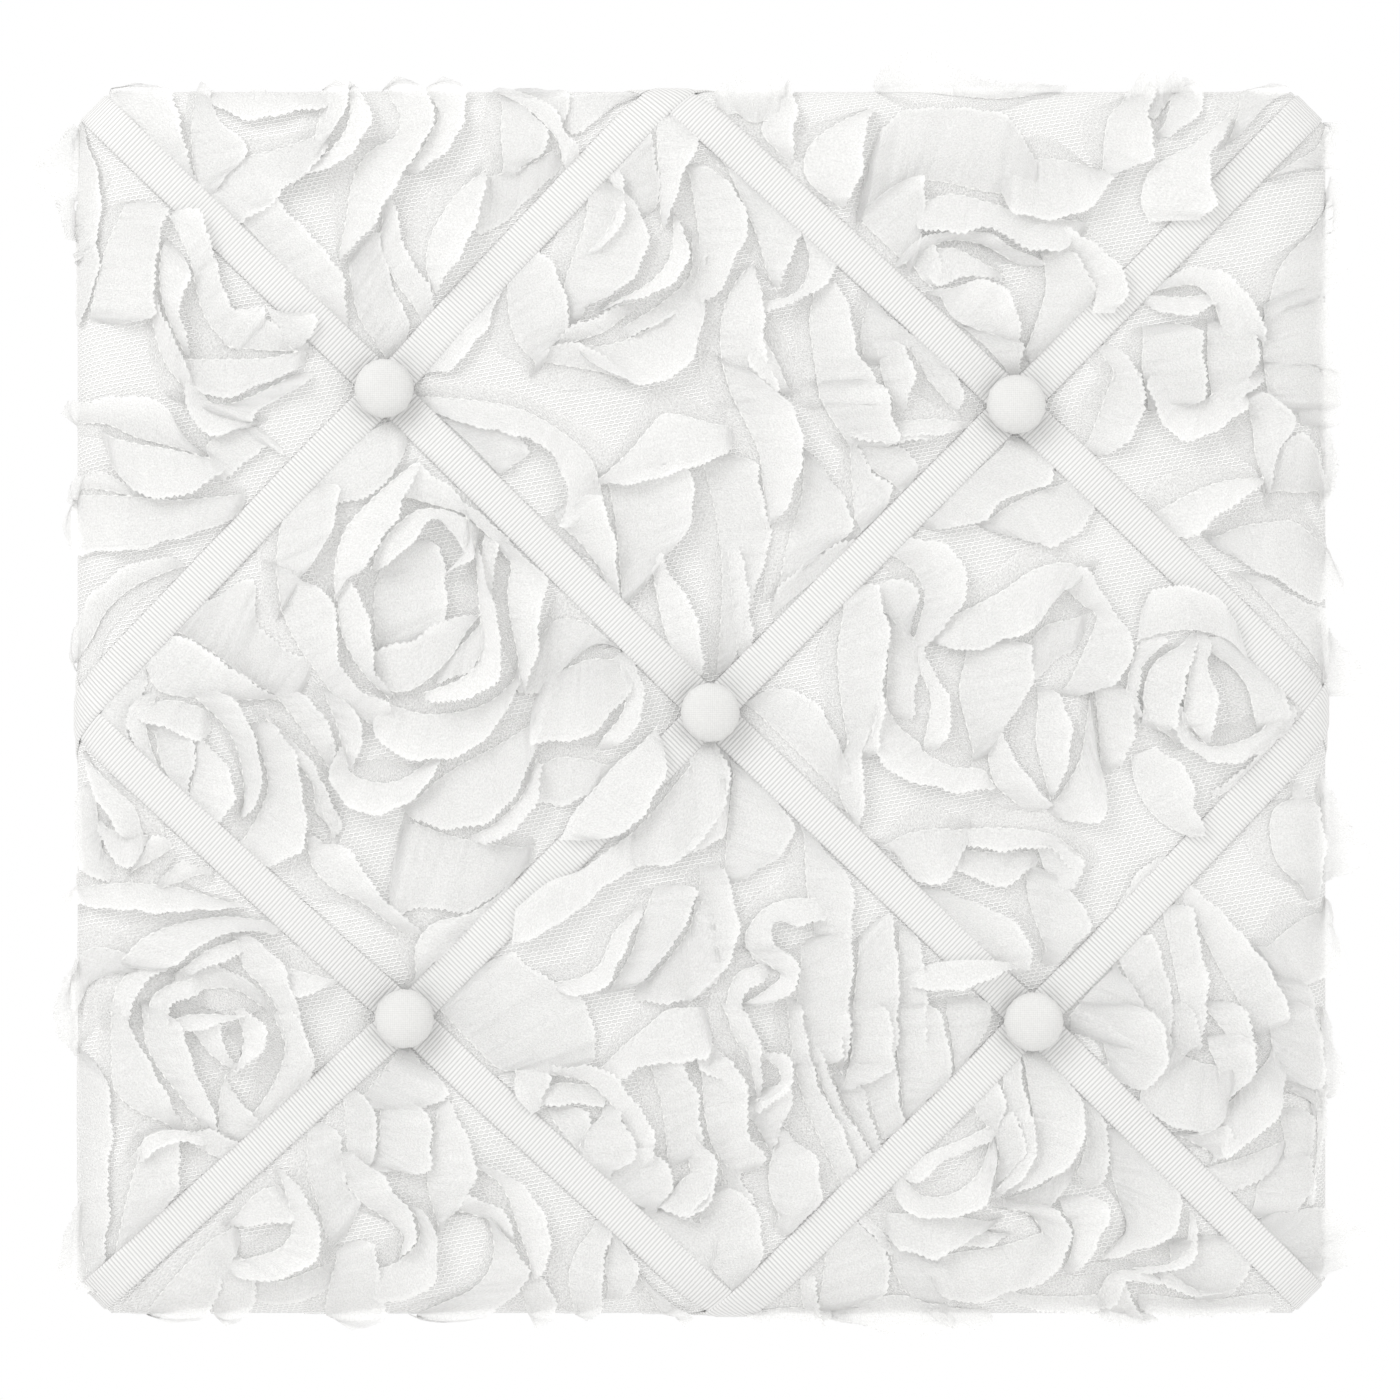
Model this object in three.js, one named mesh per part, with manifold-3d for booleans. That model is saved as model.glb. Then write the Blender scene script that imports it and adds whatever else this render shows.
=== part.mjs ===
// A French memo board: a padded square panel in rose-covered net, crossed by grosgrain ribbons that
// hold photographs, with a covered button at each crossing. It hangs on a wall.
// Millimetres. X is to the right, Z is up, and the front faces -Y. The origin is the middle of the
// hanger's wall side, so the wall is at y = 0. Inside the group of pieces, y = 0 is the wall side of
// the back sheet, and x and z count from the board's middle.
import * as THREE from "three";
import { mergeVertices } from "three/addons/utils/BufferGeometryUtils.js";
import Module from "manifold-3d";

const wasm = await Module();
wasm.setup();

// Driving sizes of the board
const boardWidth = 330;
const boardHeight = 323;
const cornerCut = 9;
const panelThickness = 6;
const foamDepth = 10.5;
const coverThickness = 0.8;
const backSheetThickness = 1.2;
const backSheetMargin = 9;
const hemWidth = 28;
const seatGap = 0.3;
const overrun = 1;

// Shape of the padded face
const roundDepth = 9;
const crownRise = 2.4;
const backEdgeRadius = 2;
const tuftDepth = 5;
const tuftSpread = 17;
const roundSteps = 3;
const gridShares = [0, 0.16, 0.36, 0.5, 0.64, 0.84, 1];

// Ribbons and the staples on their tails
const ribbonWidth = 9.5;
const ribbonThickness = 0.5;
const ribbonGap = 0.35;
const ribbonStep = 9;
const ribbonSideSteps = 2;
const tailReach = 22;
const crossingLength = 20;
const crossingRamp = 5;
const stapleWire = 0.6;
const stapleWidth = 1.2;
const stapleCrown = 6.4;
const stapleBite = 4;
const stapleInset = 14;

// Covered buttons with a nail in the back
const buttonDiameter = 15.4;
const buttonRise = 4.6;
const buttonClothThickness = 0.45;
const buttonShellThickness = 0.5;
const buttonGap = 0.15;
const buttonTurnUnder = 2;
const buttonPlateThickness = 0.8;
const buttonPlateRoom = 0.5;
const nailDiameter = 1.8;
const nailPoint = 2.5;
const nailClearance = 0.25;
const nailCover = 0.9;
const buttonSegments = 18;
const domeSteps = 3;
const nailSegments = 8;

// Sawtooth hanger at the top of the back
const hangerLength = 46;
const hangerHeight = 9;
const hangerMetal = 0.8;
const hangerRise = 1.9;
const hangerFoot = 9;
const hangerSlope = 3;
const hangerDrop = 34;
const toothPitch = 2.2;
const toothDepth = 1.5;
const tackDiameter = 1.5;
const tackHeadDiameter = 4.2;
const tackHeadHeight = 0.8;
const tackBite = 4.5;

// Roses of chiffon, each one strip sewn on edge in a spiral
const stripThickness = 0.9;
const stripHeight = 7;
const stripLean = 3.6;
const roseEyeRadius = 2.6;
const roseClearance = 1.2;
const rosePitch = 8.4;
const rippleRise = 1;
const rippleTurns = 5;
const stepsPerTurn = 14;
const roseEdgeRoom = 9;
const roseEndShare = 0.1;

// Levels, from the wall forward
const backSheetFront = -backSheetThickness;
const stapleRear = backSheetFront - seatGap;
const tailRear = stapleRear - stapleWire - seatGap;
const hemRear = tailRear - ribbonThickness - ribbonGap;
const panelRear = hemRear - coverThickness - seatGap;
const panelFront = panelRear - panelThickness;
const foamRear = panelFront - seatGap;
const shoulderY = foamRear - foamDepth - seatGap - coverThickness;
const roundStartY = shoulderY + roundDepth;

const halfWidth = boardWidth / 2;
const halfHeight = boardHeight / 2;
const chamferShrink = 2 - Math.SQRT2;
const roundInset = cornerCut / chamferShrink;
const gridHalfX = halfWidth - roundInset;
const gridHalfZ = halfHeight - roundInset;
const ribbonLift = ribbonThickness + seatGap;
const buttonRadius = buttonDiameter / 2;
const bedRadius = buttonRadius + seatGap;
const hangerZ = halfHeight - hangerDrop;
const hangerWallLevel = seatGap + hangerRise + hangerMetal;

// Button places and ribbon ends, as shares of the half width and half height
const buttonShares = {
  upper_left: [-0.503, 0.509],
  upper_right: [0.499, 0.483],
  middle: [0.014, -0.016],
  lower_left: [-0.471, -0.512],
  lower_right: [0.527, -0.517],
};
const leftEndShare = -0.034;
const topEndShare = -0.02;
const rightEndShare = 0.0;
const bottomEndShare = 0.03;

// Places of the roses, as shares of the half width and half height, the most turns that each has
// room for, the way it winds, and the share of a turn where its eye starts
const roseShares = [
  [-0.5, 0.8, 2.4, 1, 0.1],
  [-0.796, 0.6, 2.2, -1, 0.6],
  [-0.13, 0.68, 2.4, 1, 0.4],
  [0.0, 0.365, 2.4, -1, 0.2],
  [0.495, 0.709, 2.2, 1, 0.8],
  [0.79, 0.56, 2.2, -1, 0.5],
  [-0.435, 0.16, 3, 1, 0.0],
  [-0.8, -0.04, 1.8, -1, 0.7],
  [-0.435, -0.22, 2.4, 1, 0.35],
  [0.52, 0.06, 2.2, -1, 0.15],
  [0.82, 0.01, 1.8, 1, 0.9],
  [0.25, -0.03, 2, 1, 0.55],
  [0.525, -0.26, 2.3, -1, 0.45],
  [-0.745, -0.538, 2.5, 1, 0.25],
  [-0.02, -0.32, 2.3, -1, 0.65],
  [-0.092, -0.623, 2.3, 1, 0.05],
  [0.205, -0.59, 2.3, -1, 0.75],
  [-0.466, -0.79, 2.3, 1, 0.5],
  [0.51, -0.77, 2.3, -1, 0.3],
  [0.74, -0.5, 2.2, 1, 0.6],
];

const materials = {
  cover: new THREE.MeshStandardMaterial({ color: 0xe9eae9, roughness: 0.9 }),
  chiffon: new THREE.MeshStandardMaterial({ color: 0xf6f7f6, roughness: 0.85 }),
  ribbon: new THREE.MeshStandardMaterial({ color: 0xf3f4f3, roughness: 0.6 }),
  button: new THREE.MeshStandardMaterial({ color: 0xf1f2f1, roughness: 0.8 }),
  foam: new THREE.MeshStandardMaterial({ color: 0xf4f0e2, roughness: 1 }),
  panel: new THREE.MeshStandardMaterial({ color: 0xb08a5e, roughness: 0.85 }),
  sheet: new THREE.MeshStandardMaterial({ color: 0xeeeeea, roughness: 0.95 }),
  steel: new THREE.MeshStandardMaterial({ color: 0xb9bcc0, roughness: 0.35, metalness: 1 }),
};

const memoBoard = new THREE.Group();
const pieces = new THREE.Group();
memoBoard.add(pieces);
pieces.position.set(0, -hangerWallLevel, -hangerZ);

function addPiece(name, geometry, material) {
  const mesh = new THREE.Mesh(geometry, material);
  mesh.name = name;
  pieces.add(mesh);
}

// Triangles given by their corner points, as a geometry without its collapsed triangles
function geometryOf(triangles) {
  const positions = [];
  for (const [a, b, c] of triangles) {
    const flat = a.distanceTo(b) * b.distanceTo(c) * c.distanceTo(a) === 0;
    if (!flat) positions.push(...a, ...b, ...c);
  }
  const geometry = new THREE.BufferGeometry();
  geometry.setAttribute("position", new THREE.Float32BufferAttribute(positions, 3));
  geometry.computeVertexNormals();
  return geometry;
}

function quad(a, b, c, d) {
  return [[a, b, c], [a, c, d]];
}

// A closed geometry as a solid for cutting
function solidOf(geometry) {
  const bare = geometry.index ? geometry.toNonIndexed() : geometry.clone();
  bare.deleteAttribute("normal");
  bare.deleteAttribute("uv");
  const merged = mergeVertices(bare, 1e-4);
  return new wasm.Manifold(new wasm.Mesh({
    numProp: 3,
    vertProperties: merged.attributes.position.array,
    triVerts: new Uint32Array(merged.index.array),
  }));
}

function geometryFrom(solid) {
  const mesh = solid.getMesh();
  const geometry = new THREE.BufferGeometry();
  geometry.setAttribute("position", new THREE.BufferAttribute(mesh.vertProperties, 3));
  geometry.setIndex(new THREE.BufferAttribute(mesh.triVerts, 1));
  const loose = geometry.toNonIndexed();
  loose.computeVertexNormals();
  return loose;
}

function cutAway(geometry, tools) {
  return geometryFrom(tools.reduce((left, tool) => left.subtract(solidOf(tool)), solidOf(geometry)));
}

// A round bar along Y
function bar(radius, rear, front, place, segments) {
  const length = rear - front;
  const geometry = new THREE.CylinderGeometry(radius, radius, length, segments);
  return geometry.translate(place.x, (rear + front) / 2, place.z);
}

// The padded form

const buttons = Object.entries(buttonShares).map(([name, [x, z]]) => ({
  name,
  x: x * halfWidth,
  z: z * halfHeight,
}));

// How far the face stands proud of its shoulder: a shallow crown, pulled in at each button
function faceRise(x, z) {
  const crown = crownRise * (1 - (x / halfWidth) ** 4) * (1 - (z / halfHeight) ** 4);
  const pull = buttons.reduce((sum, b) => {
    const away = Math.hypot(x - b.x, z - b.z) / tuftSpread;
    return sum + tuftDepth * Math.exp(-away * away);
  }, 0);
  return crown - pull;
}

// One side's leg of the corner cut, on an outline that is set in by inset
function chamferLeg(inset) {
  return Math.max(0, cornerCut - inset * chamferShrink);
}

const gridLineShares = [...gridShares.slice(1).map((s) => -s).reverse(), ...gridShares];

// The board's outline set in by inset, at level y, run round from the bottom left
function ring(inset, y) {
  const outX = halfWidth - inset;
  const outZ = halfHeight - inset;
  const sideX = outX - chamferLeg(inset);
  const sideZ = outZ - chamferLeg(inset);
  const forward = gridLineShares;
  const plan = [
    ...forward.map((s) => [s * sideX, -outZ]),
    ...forward.map((s) => [outX, s * sideZ]),
    ...forward.map((s) => [-s * sideX, outZ]),
    ...forward.map((s) => [-outX, -s * sideZ]),
  ];
  return plan.map(([x, z]) => new THREE.Vector3(x, y, z));
}

// Inset and level of the rounded shoulder at each step, for the face set in by depth
function roundProfile(depth) {
  return Array.from({ length: roundSteps + 1 }, (_, i) => {
    const angle = (i / roundSteps) * (Math.PI / 2);
    return {
      inset: roundInset - (roundInset - depth) * Math.cos(angle),
      y: roundStartY - (roundDepth - depth) * Math.sin(angle),
    };
  });
}

// The shoulder's rings and the face's grid, for the face set in by depth
function paddedFace(depth) {
  const raise = (point) => {
    point.y -= faceRise(point.x, point.z);
    return point;
  };
  const rings = roundProfile(depth).map(({ inset, y }, i) => {
    const plain = ring(inset, y);
    return i === 0 ? plain : plain.map(raise);
  });
  const grid = gridLineShares.map((s) => gridLineShares.map((t) =>
    raise(new THREE.Vector3(s * gridHalfX, shoulderY + depth, t * gridHalfZ))));
  return { rings, grid };
}

function bandTriangles(rings) {
  const triangles = [];
  for (let k = 0; k + 1 < rings.length; k++) {
    const outer = rings[k];
    const inner = rings[k + 1];
    outer.forEach((a, i) => {
      const next = (i + 1) % outer.length;
      triangles.push(...quad(a, outer[next], inner[next], inner[i]));
    });
  }
  return triangles;
}

function gridTriangles(grid) {
  const triangles = [];
  for (let i = 0; i + 1 < grid.length; i++) {
    for (let j = 0; j + 1 < grid.length; j++) {
      triangles.push(...quad(grid[i][j], grid[i + 1][j], grid[i + 1][j + 1], grid[i][j + 1]));
    }
  }
  return triangles;
}

function turned(triangles) {
  return triangles.map(([a, b, c]) => [a, c, b]);
}

// The cover's face as it is faceted: the level of the flat facet at a place
const coverFace = paddedFace(0);
const gridX = gridLineShares.map((s) => s * gridHalfX);
const gridZ = gridLineShares.map((s) => s * gridHalfZ);

function cellOf(lines, value) {
  const found = lines.findIndex((line, i) => i > 0 && value <= line);
  return (found < 0 ? lines.length - 1 : found) - 1;
}

function insetOf(x, z) {
  const toSide = Math.min(halfWidth - Math.abs(x), halfHeight - Math.abs(z));
  const toCut = (halfWidth + halfHeight - cornerCut - Math.abs(x) - Math.abs(z)) / Math.SQRT2;
  return Math.min(toSide, toCut);
}

function shoulderLevel(inset) {
  const steps = roundProfile(0);
  const k = Math.max(1, steps.findIndex((s) => inset <= s.inset));
  const [a, b] = [steps[k - 1], steps[k]];
  return a.y + ((inset - a.inset) / (b.inset - a.inset)) * (b.y - a.y);
}

function facetLevel(x, z) {
  if (Math.abs(x) > gridHalfX || Math.abs(z) > gridHalfZ) {
    return shoulderLevel(insetOf(x, z)) - faceRise(x, z);
  }
  const i = cellOf(gridX, x);
  const j = cellOf(gridZ, z);
  const u = (x - gridX[i]) / (gridX[i + 1] - gridX[i]);
  const v = (z - gridZ[j]) / (gridZ[j + 1] - gridZ[j]);
  const { grid } = coverFace;
  const [p, q, r, s] = [grid[i][j].y, grid[i + 1][j].y, grid[i + 1][j + 1].y, grid[i][j + 1].y];
  return u > v ? p + u * (q - p) + v * (r - q) : p + v * (s - p) + u * (r - s);
}

// The front-most level of the cover among some places
function frontMost(places) {
  return Math.min(...places.map(([x, z]) => facetLevel(x, z)));
}

// Each button presses the ribbons into a level bed in the cover
buttons.forEach((b) => {
  const around = Array.from({ length: buttonSegments }, (_, i) => {
    const angle = (i / buttonSegments) * 2 * Math.PI;
    const reach = bedRadius + ribbonStep / 2;
    return [b.x + reach * Math.cos(angle), b.z + reach * Math.sin(angle)];
  });
  b.bed = frontMost([[b.x, b.z], ...around]);
});

// Staples through the ribbon tails

const staples = [];

function stapleShape(grow, bite) {
  const half = stapleCrown / 2 + grow;
  const inner = stapleCrown / 2 - stapleWire - grow;
  const tip = panelRear - bite;
  const crownFront = stapleRear - stapleWire;
  const shape = new THREE.Shape();
  shape.moveTo(-half, stapleRear);
  shape.lineTo(-half, tip);
  shape.lineTo(-inner, tip);
  shape.lineTo(-inner, crownFront);
  shape.lineTo(inner, crownFront);
  shape.lineTo(inner, tip);
  shape.lineTo(half, tip);
  shape.lineTo(half, stapleRear);
  shape.closePath();
  return shape;
}

function stapleGeometry(staple) {
  const options = { depth: stapleWidth, bevelEnabled: false };
  const geometry = new THREE.ExtrudeGeometry(stapleShape(0, stapleBite), options);
  geometry.translate(0, 0, -stapleWidth / 2).rotateY(staple.angle);
  return geometry.translate(staple.x, 0, staple.z);
}

// The slots that a staple's two legs need in what they pass through
function stapleSlots(staple) {
  const length = stapleBite + seatGap + stapleRear - panelRear;
  const place = stapleCrown / 2 - stapleWire / 2;
  return [-place, place].map((x) => {
    const slot = new THREE.BoxGeometry(stapleWire + 2 * seatGap, length, stapleWidth + 2 * seatGap);
    slot.translate(x, stapleRear - length / 2, 0).rotateY(staple.angle);
    return slot.translate(staple.x, 0, staple.z);
  });
}

// Ribbons

// The outline's edge at an end of a ribbon: a point on it, and its inward direction
const edges = {
  left: { point: [-halfWidth, leftEndShare * halfHeight], inward: [1, 0] },
  right: { point: [halfWidth, rightEndShare * halfHeight], inward: [-1, 0] },
  top: { point: [topEndShare * halfWidth, halfHeight], inward: [0, -1] },
  bottom: { point: [bottomEndShare * halfWidth, -halfHeight], inward: [0, 1] },
  top_left: cornerEdge(-1, 1),
  top_right: cornerEdge(1, 1),
  bottom_left: cornerEdge(-1, -1),
  bottom_right: cornerEdge(1, -1),
};

function cornerEdge(signX, signZ) {
  const inward = [-signX * Math.SQRT1_2, -signZ * Math.SQRT1_2];
  const point = [signX * (halfWidth - cornerCut / 2), signZ * (halfHeight - cornerCut / 2)];
  return { point, inward };
}

const ribbonPlans = {
  ribbon_falling_diagonal: ["top_left", "upper_left", "middle", "lower_right", "bottom_right"],
  ribbon_rising_diagonal: ["bottom_left", "lower_left", "middle", "upper_right", "top_right"],
  ribbon_upper_left: ["left", "upper_left", "top"],
  ribbon_upper_right: ["top", "upper_right", "right"],
  ribbon_lower_left: ["left", "lower_left", "bottom"],
  ribbon_lower_right: ["bottom", "lower_right", "right"],
};

// The stops where a ribbon passes over another one
const passesOver = {
  ribbon_falling_diagonal: [],
  ribbon_rising_diagonal: ["middle"],
  ribbon_upper_left: ["left", "upper_left", "top"],
  ribbon_upper_right: ["upper_right"],
  ribbon_lower_left: ["lower_left"],
  ribbon_lower_right: ["bottom", "lower_right", "right"],
};

// The way down an edge from the face to the tail's end, each stop lifted clear by its lift
function edgeProfile() {
  const round = Array.from({ length: roundSteps }, (_, i) => {
    const angle = (1 - (i + 1) / roundSteps) * (Math.PI / 2);
    return (lift) => ({
      inset: roundInset - (roundInset + lift) * Math.cos(angle),
      y: roundStartY - (roundDepth + lift) * Math.sin(angle),
      raised: i + 1 < roundSteps,
    });
  });
  const sideEnd = hemRear - backEdgeRadius;
  const side = Array.from({ length: ribbonSideSteps }, (_, i) => (lift) => ({
    inset: -lift,
    y: roundStartY + ((i + 1) / ribbonSideSteps) * (sideEnd - roundStartY),
  }));
  const back = [backEdgeRadius, tailReach].map((inset) => (lift) => ({ inset, y: hemRear + lift }));
  return [...round, ...side, ...back];
}

// Length of the shoulder's faceted rounding along its surface
const roundLength = roundProfile(0).reduce((sum, stop, i, all) =>
  i === 0 ? 0 : sum + Math.hypot(stop.inset - all[i - 1].inset, stop.y - all[i - 1].y), 0);

const flat = (x, z) => new THREE.Vector2(x, z);

// The point that a ribbon aims for past its edge, with the rounding laid flat
function aimOf(edge) {
  const [nx, nz] = edge.inward;
  const past = roundLength - roundInset;
  return flat(edge.point[0] - nx * past, edge.point[1] - nz * past);
}

function placeOf(stop) {
  const button = buttons.find((b) => b.name === stop);
  return button ? flat(button.x, button.z) : aimOf(edges[stop]);
}

// The stations of one ribbon from tail to tail: plan place, half section, and levels at a lift
function ribbonStations(name) {
  const stops = ribbonPlans[name];
  const places = stops.map(placeOf);
  const lengths = places.map((p, i) => (i === 0 ? 0 : p.distanceTo(places[i - 1])));
  const along = lengths.map((_, i) => lengths.slice(0, i + 1).reduce((a, b) => a + b, 0));
  const total = along[along.length - 1];
  const crossings = passesOver[name].map((stop) => along[stops.indexOf(stop)]);

  const liftAt = (s) => Math.max(0, ...crossings.map((c) => {
    const past = Math.abs(s - c) - crossingLength / 2;
    return ribbonLift * Math.min(1, Math.max(0, 1 - past / crossingRamp));
  })) + ribbonGap;

  const pointAt = (s) => {
    const k = Math.min(places.length - 1, Math.max(1, along.findIndex((a) => a >= s)));
    const t = (s - along[k - 1]) / (along[k] - along[k - 1]);
    const way = places[k].clone().sub(places[k - 1]).normalize();
    return { place: places[k - 1].clone().lerp(places[k], t), way };
  };

  // The slant that lays a section along the edge that the ribbon turns over
  const slantAt = (stop, way) => {
    const [nx, nz] = edges[stop].inward;
    const edgeWay = flat(-nz, nx);
    return edgeWay.dot(way) / edgeWay.dot(flat(-way.y, way.x));
  };
  const startSlant = slantAt(stops[0], pointAt(0).way);
  const endSlant = slantAt(stops[stops.length - 1], pointAt(total).way);

  const halfSection = (way, slant) => flat(-way.y, way.x).addScaledVector(way, slant)
    .multiplyScalar(ribbonWidth / 2);

  const runIn = (stop, way) => {
    const [nx, nz] = edges[stop].inward;
    return roundLength / Math.abs(way.x * nx + way.y * nz);
  };
  const faceStart = runIn(stops[0], pointAt(0).way);
  const faceEnd = total - runIn(stops[stops.length - 1], pointAt(total).way);

  const stationAt = (s, button) => {
    const { place, way } = pointAt(s);
    const section = halfSection(way, startSlant + (s / total) * (endSlant - startSlant));
    const samples = [-1, -0.5, 0, 0.5, 1].flatMap((across) => [-0.5, 0, 0.5].map((ahead) => {
      const sample = place.clone().addScaledVector(section, across);
      return sample.addScaledVector(way, ahead * ribbonStep).toArray();
    }));
    const level = button ? button.bed : frontMost(samples);
    return { place, section, y: level - liftAt(s) };
  };

  const face = [stationAt(faceStart)];
  let reached = faceStart;
  const fillTo = (s) => {
    const count = Math.round((s - reached) / ribbonStep);
    for (let i = 1; i < count; i++) face.push(stationAt(reached + (i / count) * (s - reached)));
  };
  stops.forEach((stop, k) => {
    const button = buttons.find((b) => b.name === stop);
    if (!button) return;
    fillTo(along[k] - bedRadius);
    face.push(stationAt(along[k] - bedRadius, button), stationAt(along[k] + bedRadius, button));
    reached = along[k] + bedRadius;
  });
  fillTo(faceEnd);
  face.push(stationAt(faceEnd));
  face[0].section = halfSection(pointAt(faceStart).way, startSlant);
  face[face.length - 1].section = halfSection(pointAt(faceEnd).way, endSlant);

  // The turn over an edge and the tail behind the panel, from the face outwards
  const turn = (stop, from, outward, slant, sign) => {
    const edge = edges[stop];
    const inward = flat(...edge.inward);
    const edgeWay = flat(-edge.inward[1], edge.inward[0]);
    const drift = outward.dot(edgeWay) / -outward.dot(inward);
    const section = halfSection(outward.clone().multiplyScalar(sign), slant);
    const start = from.clone().sub(flat(...edge.point));
    let walked = 0;
    let last = { inset: roundInset, y: shoulderY };
    return edgeProfile().map((stopAt) => {
      const bare = stopAt(0);
      walked += Math.hypot(bare.inset - last.inset, bare.y - last.y);
      last = bare;
      const s = sign > 0 ? faceEnd + walked / Math.abs(outward.dot(inward))
        : faceStart - walked / Math.abs(outward.dot(inward));
      const lift = liftAt(s);
      const { inset, y, raised } = stopAt(lift);
      const { inset: topInset, y: topY } = stopAt(lift + ribbonThickness);
      const placeAt = (d) => flat(...edge.point).addScaledVector(inward, d)
        .addScaledVector(edgeWay, start.dot(edgeWay) + drift * walked);
      const rise = (p) => (raised ? faceRise(p.x, p.y) : 0);
      const place = placeAt(inset);
      const topPlace = placeAt(topInset);
      return { place, topPlace, section, y: y - rise(place), topY: topY - rise(place) };
    });
  };
  const first = pointAt(faceStart);
  const last = pointAt(faceEnd);
  const startTurn = turn(stops[0], first.place, first.way.clone().negate(), startSlant, -1);
  const endTurn = turn(stops[stops.length - 1], last.place, last.way.clone(), endSlant, 1);
  return [...startTurn.reverse(), ...face, ...endTurn];
}

function noteStaple(stations, tailEnd, tailStart, stop) {
  const share = (stapleInset - backEdgeRadius) / (tailReach - backEdgeRadius);
  const place = stations[tailStart].place.clone().lerp(stations[tailEnd].place, share);
  const [nx, nz] = edges[stop].inward;
  const staple = { x: place.x, z: place.y, angle: Math.atan2(-nx, -nz) };
  staples.push(staple);
  return staple;
}

function ribbonGeometry(stations) {
  const corners = stations.map((station) => {
    const { place, section, y } = station;
    const topPlace = station.topPlace ?? place;
    const topY = station.topY ?? y - ribbonThickness;
    const at = (from, sign, level) =>
      new THREE.Vector3(from.x + sign * section.x, level, from.y + sign * section.y);
    return [at(place, 1, y), at(topPlace, 1, topY), at(topPlace, -1, topY), at(place, -1, y)];
  });
  const triangles = [];
  for (let i = 0; i + 1 < corners.length; i++) {
    for (let k = 0; k < 4; k++) {
      const next = (k + 1) % 4;
      triangles.push(...quad(corners[i][k], corners[i][next], corners[i + 1][next], corners[i + 1][k]));
    }
  }
  const last = corners[corners.length - 1];
  triangles.push(...quad(...[...corners[0]].reverse()), ...quad(...last));
  return geometryOf(triangles);
}

const nailHoleRadius = nailDiameter / 2 + nailClearance;
const nailHoles = buttons.map((b) => bar(nailHoleRadius, panelRear + overrun,
  shoulderY - crownRise - overrun, b, nailSegments));

const ribbons = Object.keys(ribbonPlans).map((name) => {
  const stations = ribbonStations(name);
  const stops = ribbonPlans[name];
  const end = stations.length - 1;
  const held = [
    noteStaple(stations, 0, 1, stops[0]),
    noteStaple(stations, end, end - 1, stops[stops.length - 1]),
  ];
  const holes = buttons.filter((b) => stops.includes(b.name))
    .map((b) => nailHoles[buttons.indexOf(b)]);
  const tools = [...held.flatMap(stapleSlots), ...holes];
  return { name, geometry: cutAway(ribbonGeometry(stations), tools) };
});

// Panel, foam, cover and back sheet

function octagon(inset) {
  const x = halfWidth - inset;
  const z = halfHeight - inset;
  const leg = chamferLeg(inset);
  return [
    flat(-x + leg, -z), flat(x - leg, -z), flat(x, -z + leg), flat(x, z - leg),
    flat(x - leg, z), flat(-x + leg, z), flat(-x, z - leg), flat(-x, -z + leg),
  ];
}

// A flat plate with the board's outline, its rear face at level rear and its rear edge eased
function plate(inset, rear, thickness, ease) {
  const cuts = [[inset + ease, rear], [inset, rear - ease], [inset, rear - thickness]];
  const rings = cuts.map(([set, y]) => octagon(set).map((p) => new THREE.Vector3(p.x, y, p.y)));
  const fan = (points) => points.slice(2).map((p, i) => [points[0], points[i + 1], p]);
  const sides = bandTriangles(rings);
  return geometryOf([...sides, ...turned(fan(rings[0])), ...fan(rings[2])]);
}

const innerInset = coverThickness + seatGap;
const slots = staples.flatMap(stapleSlots);

const tackX = (hangerLength - hangerFoot) / 2;
const tackPlaces = { left: { x: -tackX, z: hangerZ }, right: { x: tackX, z: hangerZ } };
const tackHoles = Object.values(tackPlaces).map((place) => bar(tackDiameter / 2 + nailClearance,
  hangerMetal + seatGap + overrun, panelRear - tackBite - seatGap, place, nailSegments));

addPiece("backing_panel",
  cutAway(plate(innerInset, panelRear, panelThickness, backEdgeRadius),
    [...nailHoles, ...slots, ...tackHoles]),
  materials.panel);

function foamGeometry() {
  const { rings, grid } = paddedFace(innerInset);
  const rear = ring(innerInset, foamRear);
  const middle = new THREE.Vector3(0, foamRear, 0);
  const cap = rear.map((a, i) => [middle, rear[(i + 1) % rear.length], a]);
  return geometryOf([...bandTriangles([rear, ...rings]), ...gridTriangles(grid), ...cap]);
}

addPiece("foam_pad", cutAway(foamGeometry(), nailHoles), materials.foam);

function coverGeometry() {
  const skin = (depth) => {
    const { rings, grid } = paddedFace(depth);
    const all = [
      ring(hemWidth, hemRear - depth),
      ring(backEdgeRadius, hemRear - depth),
      ring(depth, hemRear - backEdgeRadius),
      ...rings,
    ];
    return { all, triangles: [...bandTriangles(all), ...gridTriangles(grid)] };
  };
  const outer = skin(0);
  const inner = skin(coverThickness);
  const rim = bandTriangles([inner.all[0], outer.all[0]]);
  return geometryOf([...outer.triangles, ...turned(inner.triangles), ...rim]);
}

addPiece("net_cover", cutAway(coverGeometry(), [...nailHoles, ...slots]), materials.cover);

addPiece("back_sheet",
  cutAway(plate(backSheetMargin, 0, backSheetThickness, backSheetThickness / 2), tackHoles),
  materials.sheet);

ribbons.forEach(({ name, geometry }) => addPiece(name, geometry, materials.ribbon));

staples.forEach((staple, i) => {
  const number = String(i + 1).padStart(2, "0");
  addPiece(`ribbon_staple_${number}`, stapleGeometry(staple), materials.steel);
});

// Covered buttons

function turnedOnAxis(profile, place, segments) {
  const points = profile.map(([r, y]) => new THREE.Vector2(r, y));
  const geometry = new THREE.LatheGeometry(points, segments);
  return geometry.translate(place.x, 0, place.z);
}

// A dome's outline from its front middle to its rim, for a seat at level rear
function domeProfile(radius, rise, rear) {
  return Array.from({ length: domeSteps + 1 }, (_, i) => {
    const angle = (i / domeSteps) * (Math.PI / 2);
    return [radius * Math.sin(angle), rear - rise * Math.cos(angle)];
  });
}

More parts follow.
